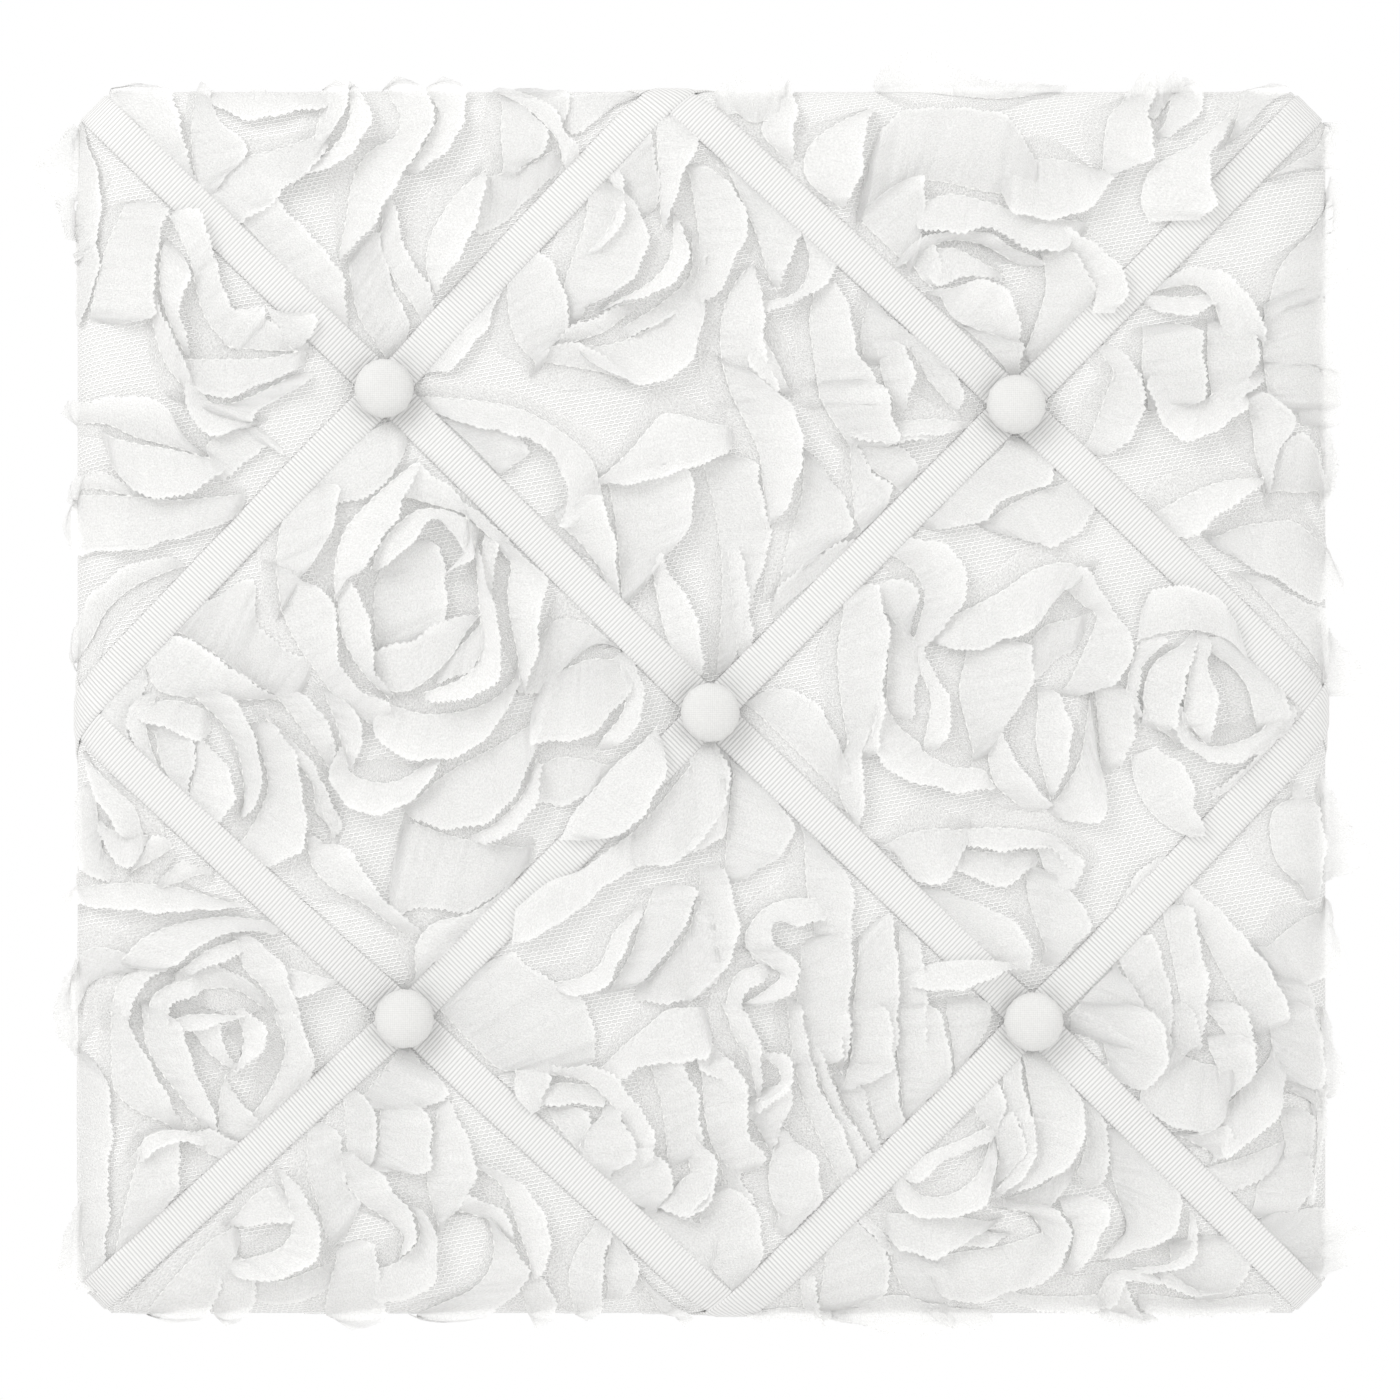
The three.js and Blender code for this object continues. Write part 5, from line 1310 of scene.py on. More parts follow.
     [1184, 540, 1198, 532, 1212, 518, 1227, 506, 1258, 485], 1.0, 4.5),
    ([1212, 538, 1236, 528, 1264, 524, 1290, 524, 1318, 545],
     [1226, 556, 1246, 570, 1272, 583, 1304, 599, 1334, 597], 0.8, 3.0),
    ([1242, 582, 1270, 612, 1300, 645, 1318, 668], [1264, 584, 1296, 601, 1322, 614, 1324, 650],
     0.5, 1.5),
    ([1320, 640, 1320, 660, 1320, 682], [1326, 632, 1350, 655, 1368, 683], 0.8, 1.6),
    # Below the middle button
    ([690, 762, 700, 790, 692, 820, 680, 846], [716, 743, 731, 770, 727, 796, 712, 826, 692, 847],
     0.8, 3.5),
    ([733, 775, 728, 820, 724, 868], [778, 800, 793, 828, 780, 852, 752, 870], 0.5, 2.5),
    ([700, 880, 690, 930, 684, 990], [729, 876, 736, 905, 738, 935, 724, 964, 700, 989], 0.6, 2.5),
    ([803, 834, 804, 862, 806, 890, 812, 918], [820, 846, 848, 876, 852, 902, 850, 930], 1.0, 3.0),
    ([812, 896, 790, 896, 766, 904, 752, 918, 744, 936, 752, 954],
     [820, 919, 800, 922, 780, 918, 770, 924, 774, 940, 790, 952], 1.5, 4.5),
    ([752, 950, 768, 962, 780, 972, 768, 984, 750, 996],
     [784, 950, 798, 960, 800, 972, 787, 990, 762, 999], 2.0, 5.5),
    ([756, 962, 737, 970, 727, 992, 729, 1020, 742, 1048],
     [760, 980, 748, 986, 742, 1004, 752, 1026, 764, 1046], 1.0, 4.0),
    ([800, 956, 796, 1000, 790, 1050], [846, 935, 852, 965, 846, 1010, 840, 1050], 0.6, 2.5),
    ([857, 950, 852, 1000, 850, 1050], [889, 915, 895, 960, 897, 1010, 892, 1050], 1.0, 3.0),
    ([897, 936, 896, 990, 895, 1050], [918, 945, 923, 990, 926, 1050], 0.6, 1.8),
    ([903, 975, 925, 962, 950, 957, 985, 957, 1012, 961],
     [906, 982, 930, 986, 952, 987, 974, 981, 994, 973, 1016, 965], -1.5, 4.0),
    ([926, 893, 948, 918, 968, 938, 990, 957], [950, 892, 978, 902, 1004, 914, 1024, 940, 1028, 962],
     0.6, 3.0),
    # Right of the lower part of the falling ribbon
    ([756, 712, 790, 745, 820, 775, 850, 806], [790, 690, 812, 700, 832, 730, 844, 762], 0.5, 2.0),
    ([846, 742, 836, 770, 840, 800, 850, 816], [872, 722, 861, 750, 861, 790, 859, 826], 1.0, 4.0),
    ([884, 705, 896, 726, 916, 742, 922, 752, 950, 766, 978, 768, 988, 780],
     [872, 712, 871, 738, 880, 762, 903, 778, 930, 787, 960, 791, 992, 786], 1.5, 4.5),
    ([983, 735, 985, 760, 992, 784, 1010, 800], [1002, 738, 1015, 765, 1030, 785, 1046, 800], 1.0, 3.0),
    ([884, 843, 905, 832, 935, 827, 957, 829], [892, 851, 916, 880, 944, 877, 958, 850], 0.8, 3.5),
    ([957, 828, 990, 826, 1020, 828, 1050, 834, 1077, 854],
     [958, 843, 990, 847, 1030, 847, 1050, 851, 1066, 866], 1.0, 3.0),
    ([958, 847, 980, 850, 1022, 850], [956, 870, 985, 881, 1008, 881, 1026, 866], 0.6, 2.0),
    ([1034, 848, 1040, 866, 1052, 892], [1064, 848, 1078, 860, 1070, 882, 1058, 895], 1.5, 4.0),
    ([1022, 872, 1026, 902, 1042, 946], [1066, 888, 1080, 910, 1086, 927, 1058, 955], 0.8, 3.0),
    ([1034, 702, 1032, 740, 1040, 775, 1046, 797], [1060, 702, 1066, 735, 1062, 768, 1048, 798], 1.0, 3.0),
    ([1054, 796, 1075, 760, 1082, 722, 1086, 690], [1070, 820, 1097, 819, 1101, 790, 1092, 756], 0.8, 3.0),
    ([1090, 690, 1094, 728, 1096, 757], [1128, 700, 1131, 732, 1120, 756], 0.8, 2.5),
    ([1126, 756, 1129, 778, 1138, 800, 1156, 821, 1184, 836],
     [1150, 746, 1172, 762, 1186, 784, 1190, 806, 1201, 834], -1.0, 4.5),
    ([1180, 722, 1190, 738, 1206, 746, 1230, 742, 1252, 732, 1266, 716],
     [1166, 726, 1182, 748, 1204, 761, 1230, 762, 1256, 752, 1280, 732, 1290, 716], 2.0, 6.0),
    ([1140, 706, 1150, 726, 1164, 736], [1170, 700, 1178, 716, 1182, 730], 2.0, 4.0),
    ([1178, 704, 1182, 722, 1198, 742], [1202, 702, 1207, 720, 1205, 742], 3.0, 5.5),
    ([1207, 797, 1228, 787, 1250, 767, 1280, 745], [1206, 790, 1227, 776, 1249, 757, 1278, 738], 0.4, 2.0),
    ([1120, 906, 1134, 890, 1152, 868], [1118, 892, 1131, 874, 1147, 860], 0.4, 2.0),
    # Right edge, below the ribbon
    ([1286, 797, 1268, 808, 1264, 832, 1272, 862, 1296, 884],
     [1302, 797, 1316, 808, 1320, 836, 1319, 862, 1318, 887], 0.8, 3.0),
    ([1318, 798, 1319, 830, 1319, 872], [1324, 784, 1348, 824, 1365, 850, 1360, 866, 1330, 876], 0.8, 1.6),
    ([1182, 905, 1196, 930, 1212, 962, 1232, 996, 1246, 1020],
     [1194, 888, 1226, 922, 1256, 957, 1277, 990, 1283, 1008], 0.8, 4.0),
    ([1160, 922, 1168, 960, 1176, 1000, 1184, 1040], [1188, 910, 1197, 950, 1201, 990, 1196, 1040],
     0.8, 2.5),
    ([1118, 965, 1134, 1000, 1150, 1046], [1148, 935, 1161, 965, 1167, 1000, 1165, 1040], 0.6, 1.6),
    ([1068, 1012, 1085, 990, 1108, 966], [1158, 1048, 1146, 1016, 1128, 984, 1116, 970], 0.8, 3.0),
    ([1262, 944, 1282, 927, 1302, 915, 1320, 911], [1282, 975, 1300, 983, 1322, 977, 1343, 964, 1328, 922],
     0.8, 2.5),
    ([1262, 976, 1280, 1000, 1288, 1040], [1306, 988, 1313, 1010, 1317, 1042], 0.8, 2.2),
    # Rose at the lower left, its lower part
    ([118, 1010, 122, 985, 140, 966, 162, 955], [138, 1008, 146, 988, 156, 975, 172, 966], 1.0, 4.0),
    ([155, 1012, 158, 994, 174, 982, 196, 976], [176, 1016, 180, 1004, 188, 998, 200, 992], 2.0, 4.5),
    ([182, 992, 210, 986, 240, 986, 264, 1001],
     [172, 985, 192, 965, 215, 962, 240, 968, 262, 985], 1.0, 1.6),
    ([117, 1010, 117, 1050, 120, 1085, 142, 1106, 172, 1119],
     [134, 1012, 143, 1035, 156, 1062, 172, 1085, 182, 1108], 1.0, 3.5),
    ([149, 1012, 152, 1040, 166, 1066, 186, 1092, 202, 1114],
     [188, 1022, 196, 1050, 208, 1076, 219, 1100, 223, 1122], 1.5, 5.0),
    ([200, 1028, 212, 1045, 226, 1058, 240, 1066], [228, 1020, 229, 1036, 234, 1050, 243, 1060], 2.0, 3.5),
    ([246, 1018, 250, 1035, 246, 1055], [262, 1012, 273, 1025, 272, 1042, 258, 1056, 245, 1064], 3.0, 6.0),
    ([172, 1021, 190, 1012, 215, 1010, 246, 1012], [184, 1027, 205, 1025, 228, 1020, 262, 1008], 2.5, 4.5),
    ([231, 1072, 225, 1092, 224, 1122], [234, 1078, 246, 1095, 258, 1108, 266, 1122], 1.5, 4.0),
    ([282, 1020, 290, 1042, 284, 1068, 272, 1090, 262, 1104],
     [302, 1012, 314, 1036, 318, 1060, 308, 1084, 290, 1106, 272, 1122], 1.5, 5.0),
    ([345, 1053, 357, 1043, 365, 1030], [350, 1059, 363, 1050, 373, 1036], 0.5, 2.0),
    ([148, 1142, 140, 1166, 133, 1192, 127, 1218, 121, 1246],
     [186, 1134, 186, 1160, 188, 1178, 178, 1194, 160, 1214, 142, 1238], 1.0, 4.0),
    ([145, 1143, 154, 1131, 178, 1125, 206, 1129], [151, 1152, 168, 1142, 188, 1137, 202, 1140], 2.0, 4.0),
    ([190, 1135, 208, 1145, 232, 1158], [196, 1126, 222, 1128, 248, 1140], 1.0, 2.5),
    ([80, 1060, 80, 1120, 80, 1180, 84, 1280], [116, 1085, 117, 1140, 114, 1200, 110, 1268], 0.5, 1.6),
    ([84, 1215, 86, 1245, 92, 1275], [76, 1215, 65, 1240, 62, 1265, 76, 1282, 95, 1288], 0.8, 1.6),
    # Lower left corner, under the ribbon
    ([287, 1176, 294, 1200, 296, 1226, 284, 1242, 262, 1250, 236, 1256],
     [296, 1172, 316, 1196, 326, 1224, 320, 1250, 300, 1266, 274, 1274, 252, 1272], 1.5, 4.5),
    ([240, 1212, 256, 1192, 268, 1184], [244, 1220, 270, 1219, 295, 1216], 0.8, 3.0),
    ([152, 1305, 180, 1271, 214, 1236, 228, 1228], [215, 1310, 222, 1285, 229, 1264, 237, 1254], 0.5, 2.0),
    ([222, 1262, 218, 1286, 216, 1309], [256, 1262, 259, 1290, 252, 1309], 0.8, 3.0),
    ([258, 1274, 285, 1276, 322, 1262], [262, 1296, 290, 1302, 322, 1292], 0.6, 1.4),
    ([340, 1256, 332, 1282, 326, 1312], [378, 1242, 384, 1266, 384, 1288, 387, 1312], 0.8, 3.5),
    ([312, 1135, 312, 1170, 322, 1200, 330, 1230], [344, 1130, 348, 1160, 353, 1182, 362, 1196], 0.5, 1.6),
    ([346, 1158, 352, 1180, 366, 1197, 388, 1212, 406, 1228, 406, 1240],
     [372, 1158, 392, 1172, 404, 1192, 416, 1210, 420, 1232, 404, 1252], 1.5, 4.5),
    ([400, 1190, 420, 1212, 421, 1236, 400, 1256, 384, 1262],
     [408, 1194, 428, 1206, 439, 1226, 442, 1252, 436, 1276, 414, 1292, 386, 1298], 1.5, 4.0),
    # Below the lower left button
    ([400, 1048, 380, 1075, 366, 1092], [424, 1060, 452, 1088, 420, 1104, 385, 1105], 0.5, 2.0),
    ([348, 1100, 350, 1130, 352, 1154], [372, 1096, 382, 1120, 378, 1152], 0.6, 1.8),
    ([384, 1108, 382, 1140, 372, 1158], [432, 1112, 436, 1140, 432, 1166, 396, 1165], 0.8, 3.0),
    ([440, 1112, 435, 1142, 430, 1168, 434, 1196, 441, 1218],
     [456, 1104, 470, 1130, 476, 1152, 478, 1176, 466, 1198, 448, 1215], 1.0, 4.0),
    ([482, 1164, 500, 1176, 512, 1196, 520, 1222, 530, 1250, 534, 1272],
     [505, 1166, 526, 1178, 542, 1202, 552, 1232, 550, 1256, 535, 1276], 1.5, 5.0),
    ([450, 1204, 470, 1207, 492, 1214], [470, 1190, 496, 1198, 512, 1212, 516, 1234], 1.5, 3.0),
    ([490, 1212, 496, 1236, 492, 1262, 474, 1284, 446, 1298, 420, 1311],
     [502, 1222, 518, 1244, 532, 1266, 520, 1286, 500, 1304, 490, 1312], 1.0, 4.0),
    ([524, 1284, 526, 1298, 528, 1310], [548, 1278, 556, 1296, 554, 1312], 0.6, 2.0),
    ([574, 1302, 570, 1270, 578, 1244, 590, 1228], [604, 1304, 604, 1276, 606, 1252, 610, 1236], 0.8, 2.5),
    ([611, 1238, 606, 1262, 609, 1280], [628, 1246, 641, 1262, 632, 1283], 0.8, 3.0),
    ([636, 1262, 650, 1290, 662, 1312], [652, 1282, 672, 1300, 690, 1312], 0.5, 1.6),
    # Right of the lower left ribbon
    ([518, 1066, 518, 1090, 534, 1109], [548, 1062, 553, 1078, 546, 1090, 541, 1105], -1.5, 3.0),
    ([445, 1010, 470, 1036, 500, 1064, 520, 1067], [518, 950, 556, 980, 588, 1002, 598, 1050], 0.5, 2.0),
    ([556, 1070, 586, 1076, 606, 1092, 622, 1112, 634, 1138, 640, 1158],
     [560, 1061, 594, 1061, 620, 1076, 642, 1102, 654, 1130, 655, 1147], 2.0, 5.0),
    ([548, 1084, 562, 1078, 586, 1080], [545, 1100, 570, 1101, 600, 1100], 1.0, 2.0),
    ([602, 1112, 586, 1128, 582, 1148, 600, 1168], [622, 1112, 634, 1134, 636, 1152, 616, 1166], 1.5, 4.5),
    ([556, 1117, 570, 1135, 580, 1148], [590, 1110, 593, 1122, 584, 1137], 0.6, 1.6),
    ([612, 1180, 630, 1195, 646, 1203], [650, 1142, 668, 1160, 672, 1180, 660, 1199], 0.8, 2.5),
    ([672, 1186, 684, 1172, 698, 1164], [658, 1202, 684, 1209, 704, 1196], 1.5, 4.0),
    ([650, 1215, 675, 1238, 700, 1262], [672, 1206, 694, 1212, 714, 1226], 0.5, 1.5),
    ([652, 1064, 662, 1100, 668, 1150], [684, 1062, 698, 1094, 704, 1136], 0.8, 2.2),
    ([604, 1062, 626, 1040, 648, 1022, 668, 1006, 690, 1004],
     [612, 1070, 626, 1073, 646, 1062, 676, 1057, 704, 1055], 1.0, 4.0),
    # Between the two bottom ribbons
    ([726, 1010, 744, 1040, 752, 1070, 757, 1096], [748, 1012, 758, 1034, 762, 1060, 761, 1090], 1.5, 4.5),
    ([702, 1070, 704, 1105, 712, 1140, 726, 1160],
     [734, 1060, 748, 1085, 746, 1110, 752, 1132, 764, 1148], 1.0, 4.5),
    ([712, 1040, 724, 1052, 742, 1072], [702, 1066, 720, 1075, 744, 1090], 0.6, 2.0),
    ([760, 1052, 774, 1060, 780, 1074, 770, 1088, 757, 1094],
     [762, 1044, 784, 1050, 792, 1068, 784, 1088, 760, 1104], 2.0, 5.0),
    ([748, 1112, 758, 1124, 766, 1140], [790, 1082, 789, 1100, 780, 1124, 770, 1146], 1.0, 4.0),
    ([776, 1132, 768, 1165, 770, 1190, 778, 1210],
     [792, 1134, 812, 1150, 820, 1178, 818, 1200, 796, 1222], 1.5, 4.5),
    ([702, 1200, 700, 1235, 712, 1262, 732, 1286],
     [740, 1188, 758, 1205, 762, 1232, 758, 1258, 744, 1276], 0.6, 2.5),
    ([684, 1136, 690, 1165, 688, 1190, 676, 1204],
     [702, 1136, 714, 1152, 715, 1178, 706, 1200, 690, 1210], 1.0, 4.0),
    ([714, 1140, 722, 1165, 722, 1195], [748, 1150, 742, 1172, 752, 1192], 0.4, 1.2),
    ([787, 1010, 792, 1050, 801, 1090, 817, 1132, 836, 1172],
     [802, 1010, 808, 1052, 820, 1084, 834, 1110, 850, 1150, 858, 1166], 0.6, 3.0),
    ([810, 1050, 822, 1085, 838, 1120, 856, 1160], [822, 1050, 836, 1090, 852, 1122, 872, 1151], 1.0, 4.0),
    ([838, 1086, 848, 1108, 862, 1134, 872, 1148], [860, 1086, 868, 1106, 876, 1128, 880, 1142], 0.5, 2.5),
    ([812, 1010, 826, 1040, 840, 1068], [846, 1010, 848, 1040, 842, 1062], 1.0, 3.0),
    ([846, 1010, 850, 1045, 842, 1080], [886, 1010, 890, 1040, 893, 1062, 880, 1072, 856, 1081], 1.0, 4.0),
    ([858, 1082, 868, 1100, 876, 1120], [893, 1064, 898, 1090, 902, 1114], 0.5, 2.0),
    ([890, 1010, 896, 1055, 900, 1100], [938, 1010, 946, 1040, 949, 1068, 922, 1100], 0.6, 2.5),
    ([944, 1010, 950, 1040, 952, 1066], [990, 1006, 985, 1024, 968, 1052], 0.5, 1.8),
    # Below the lower right button
    ([906, 1158, 930, 1146, 960, 1134, 984, 1122], [916, 1176, 934, 1160, 958, 1148, 984, 1138], 1.0, 3.0),
    ([900, 1172, 920, 1190, 950, 1188, 975, 1168, 986, 1140],
     [904, 1206, 930, 1210, 962, 1208, 984, 1194, 992, 1164], 1.0, 4.5),
    ([895, 1208, 930, 1208, 962, 1212, 984, 1216], [900, 1244, 930, 1252, 952, 1244, 972, 1228], 1.0, 3.0),
    ([868, 1214, 880, 1226, 896, 1244], [858, 1218, 872, 1232, 888, 1248], 0.5, 1.5),
    ([826, 1236, 822, 1270, 818, 1300], [862, 1220, 884, 1250, 888, 1284], 0.4, 1.2),
    ([888, 1240, 892, 1266, 904, 1286], [920, 1250, 940, 1262, 956, 1290], 0.5, 1.8),
    ([958, 1214, 976, 1222, 992, 1228], [966, 1242, 986, 1240, 1002, 1232], 0.5, 1.6),
    ([930, 1252, 960, 1246, 1000, 1240, 1040, 1226],
     [945, 1292, 975, 1300, 1010, 1284, 1050, 1268], 0.6, 3.0),
    ([838, 1312, 862, 1298, 896, 1290, 930, 1300], [852, 1318, 880, 1326, 915, 1334, 945, 1328], 1.0, 3.5),
    ([935, 1300, 950, 1304, 968, 1306], [940, 1320, 960, 1326, 985, 1322], 0.8, 2.0),
    ([1000, 1284, 1024, 1290, 1060, 1292, 1090, 1290],
     [1002, 1296, 1030, 1306, 1060, 1310, 1092, 1308], 0.6, 2.0),
    ([760, 1308, 790, 1304, 815, 1306], [764, 1317, 790, 1318, 816, 1318], 0.4, 1.2),
    ([800, 1282, 802, 1300, 810, 1310], [816, 1280, 818, 1296, 822, 1312], 0.5, 2.0),
    ([1022, 1060, 1026, 1090, 1030, 1120, 1026, 1150, 1012, 1172],
     [1052, 1056, 1072, 1086, 1080, 1116, 1072, 1148, 1048, 1172, 1012, 1184], 1.5, 5.0),
    ([1000, 1064, 1000, 1095, 996, 1120], [1018, 1060, 1022, 1085, 1026, 1108], 1.0, 3.0),
    ([970, 1100, 976, 1112, 984, 1122], [994, 1080, 1002, 1098, 996, 1120], 0.8, 2.5),
    ([990, 1128, 996, 1150, 992, 1172], [1012, 1112, 1020, 1130, 1018, 1152, 1004, 1168], 1.0, 4.0),
    ([1016, 1118, 1020, 1140, 1010, 1160, 996, 1180], [1026, 1110, 1034, 1135, 1026, 1160, 1004, 1184],
     2.5, 5.0),
    ([1080, 1110, 1082, 1140, 1074, 1165], [1100, 1118, 1104, 1145, 1102, 1172], 0.5, 1.4),
    ([1014, 1190, 1040, 1180, 1062, 1160], [1016, 1206, 1044, 1200, 1060, 1186], 0.5, 2.0),
    ([1104, 1136, 1108, 1170, 1118, 1205, 1128, 1222],
     [1140, 1140, 1166, 1168, 1176, 1200, 1164, 1232, 1130, 1246, 1098, 1252], 0.6, 2.5),
    ([1012, 1204, 1030, 1212, 1040, 1235, 1030, 1262],
     [1056, 1206, 1066, 1226, 1064, 1246, 1044, 1272, 1016, 1284], 1.0, 4.0),
    ([1060, 1208, 1070, 1222, 1066, 1250], [1104, 1199, 1104, 1216, 1090, 1240, 1076, 1260], 2.0, 5.0),
    ([1184, 1222, 1180, 1244, 1164, 1258, 1130, 1262], [1191, 1226, 1190, 1248, 1170, 1264, 1134, 1268],
     1.0, 3.5),
    ([1097, 1284, 1104, 1270, 1122, 1264, 1146, 1268], [1112, 1300, 1118, 1282, 1128, 1274, 1162, 1278],
     1.0, 4.0),
    ([1100, 1290, 1108, 1306, 1124, 1314], [1124, 1280, 1126, 1296, 1140, 1312], 0.8, 3.0),
    ([1110, 1306, 1130, 1310, 1150, 1312], [1106, 1318, 1132, 1322, 1156, 1316], 0.6, 1.4),
    ([1166, 1250, 1168, 1270, 1190, 1284], [1240, 1238, 1246, 1262, 1230, 1284], 0.4, 1.6),
    ([1150, 1290, 1200, 1296, 1250, 1290], [1150, 1312, 1200, 1312, 1262, 1311], 0.3, 0.8),
    ([1166, 1268, 1190, 1284, 1210, 1288], [1162, 1280, 1190, 1292, 1224, 1286], 1.0, 2.5),
    # Right of the lower right button
    ([1082, 1010, 1096, 1030, 1104, 1060],
     [1150, 1010, 1160, 1030, 1160, 1060, 1136, 1084, 1112, 1078], 1.0, 4.5),
    ([1166, 1040, 1180, 1052, 1200, 1060, 1220, 1062],
     [1136, 1100, 1160, 1118, 1190, 1126, 1216, 1118, 1222, 1096], 1.0, 4.0),
    ([1160, 1010, 1166, 1040, 1150, 1078], [1190, 1010, 1196, 1036, 1180, 1050], 0.5, 1.8),
    ([1204, 1046, 1214, 1070, 1216, 1094], [1248, 1040, 1248, 1066, 1226, 1092], 1.5, 4.0),
    ([1204, 1010, 1220, 1030, 1230, 1045], [1242, 1010, 1246, 1030, 1250, 1046], 1.5, 4.0),
    ([1226, 1096, 1250, 1070, 1262, 1056], [1222, 1150, 1252, 1130, 1272, 1112, 1278, 1080], 1.0, 3.5),
    ([1168, 1128, 1192, 1140, 1210, 1150], [1196, 1130, 1222, 1120, 1226, 1142, 1204, 1160], 0.8, 2.5),
    ([1262, 1010, 1266, 1040, 1270, 1066], [1310, 1010, 1317, 1040, 1319, 1084, 1280, 1076], 1.0, 4.0),
    ([1318, 1020, 1319, 1050, 1318, 1082], [1328, 1020, 1330, 1045, 1344, 1076, 1340, 1086], 1.0, 0.6),
    ([1279, 1080, 1290, 1090, 1306, 1098], [1318, 1084, 1322, 1100, 1312, 1108], 0.5, 1.5),
    ([1276, 1120, 1280, 1140, 1276, 1160], [1312, 1118, 1310, 1145, 1300, 1165], 0.5, 1.6),
    ([1312, 1090, 1314, 1125, 1312, 1160, 1302, 1200], [1322, 1088, 1323, 1120, 1318, 1150, 1306, 1202],
     1.0, 3.0),
    ([1204, 1162, 1240, 1152, 1270, 1140], [1220, 1190, 1250, 1176, 1264, 1166], 0.5, 2.0),
    ([1262, 1166, 1252, 1180, 1250, 1196], [1308, 1160, 1308, 1182, 1296, 1202], 0.5, 2.0),
    ([1262, 1226, 1276, 1246, 1300, 1266],
     [1280, 1206, 1320, 1204, 1346, 1216, 1370, 1240, 1358, 1256, 1322, 1271], 1.0, 3.0),
]


def wave(along, seed):
    """A gentle wander along a length, different for each seed."""
    chance = np.random.default_rng(seed)
    total = np.zeros_like(along)
    for span in (31, 17, 9.5):
        total += np.sin(2 * math.pi * (along / (span * chance.uniform(0.85, 1.15)) + chance.uniform()))
    return total / 3


def button_distance(x, z):
    """How far places are from the rim of the nearest button."""
    near = np.full(np.shape(x), 1e3)
    for place in BUTTONS.values():
        near = np.minimum(near, np.hypot(x - place[0], z - place[1]))
    return near - BUTTON_RADIUS


def laid_over(x, z, height, free_share):
    """Places on the cover at a height off it. What passes the outline is laid down the board's side."""
    corner = np.maximum(np.abs(x) + np.abs(z) - HALF_X - HALF_Z + CORNER_CUT, 0) / 2
    x = x - np.sign(x) * corner * (1 - free_share)
    z = z - np.sign(z) * corner * (1 - free_share)
    past_x, past_z = np.maximum(np.abs(x) - HALF_X, 0), np.maximum(np.abs(z) - HALF_Z, 0)
    past = np.maximum(past_x, past_z) * (1 - free_share)
    least = EDGE_INSET * free_share
    out = 1 - np.clip(inset_at(x, z), least, ROUND_INSET) / ROUND_INSET
    y = face_level(x, z, least) - height * np.sqrt(1 - 0.98 * out**2) + np.minimum(past, SIDE_LENGTH)
    push = height * out * (1 - free_share)
    x = x - np.sign(x) * (past_x * (1 - free_share) - push * (past_x > 0))
    z = z - np.sign(z) * (past_z * (1 - free_share) - push * (past_z > 0))
    return np.stack([x, y, z], axis=-1)


def under_ribbons(x, z, height):
    """Heights brought down where a petal goes under a ribbon or comes to a button."""
    beside = np.maximum(ribbon_distance(x, z) - RIBBON_WIDTH / 2, 0)
    room = UNDER_RIBBON + np.minimum(beside, np.maximum(button_distance(x, z), 0)) * RIBBON_SLOPE
    return height * room / (height + room) * (1 + np.minimum(height, room) / (height + room))


def run_on(seam, free):
    """A petal's two edges carried on past one end, to where the strip lies under its neighbours."""
    share = np.linspace(0, 1, int(RUN_ON / CHIFFON_STEP) + 1)[1:, None]
    aim = (seam[-1] - seam[-4]) + (free[-1] - free[-4])
    more_seam = seam[-1] + aim / np.linalg.norm(aim) * RUN_ON * share
    more_free = more_seam + (free[-1] - seam[-1]) * (1 - 0.55 * share**2)
    return np.concatenate([seam, more_seam]), np.concatenate([free, more_free])


def with_ends(seam, free, over):
    """A petal's edges with open ends carried on, and how fully it stands up along its length."""
    falls = []
    for _ in range(2):
        seam, free = seam[::-1], free[::-1]
        hidden = np.linalg.norm(free[-1] - seam[-1]) > 2 and not over
        falls.append((RUN_ON + 1.5, 0.0) if hidden else (3.0, 0.5))
        if hidden:
            seam, free = run_on(seam, free)
    along = walk_of(free)
    shown = np.ones(len(along))
    for away, (reach, least) in zip((along, along[-1] - along), falls):
        shown *= least + (1 - least) * ramp(away, 0, reach)
    return seam, free, along, shown


def between(seam, free, share):
    """Places across a petal, from its seam at share 0 to its free edge at share 1."""
    return seam[None] * (1 - share[..., None]) + free[None] * share[..., None]


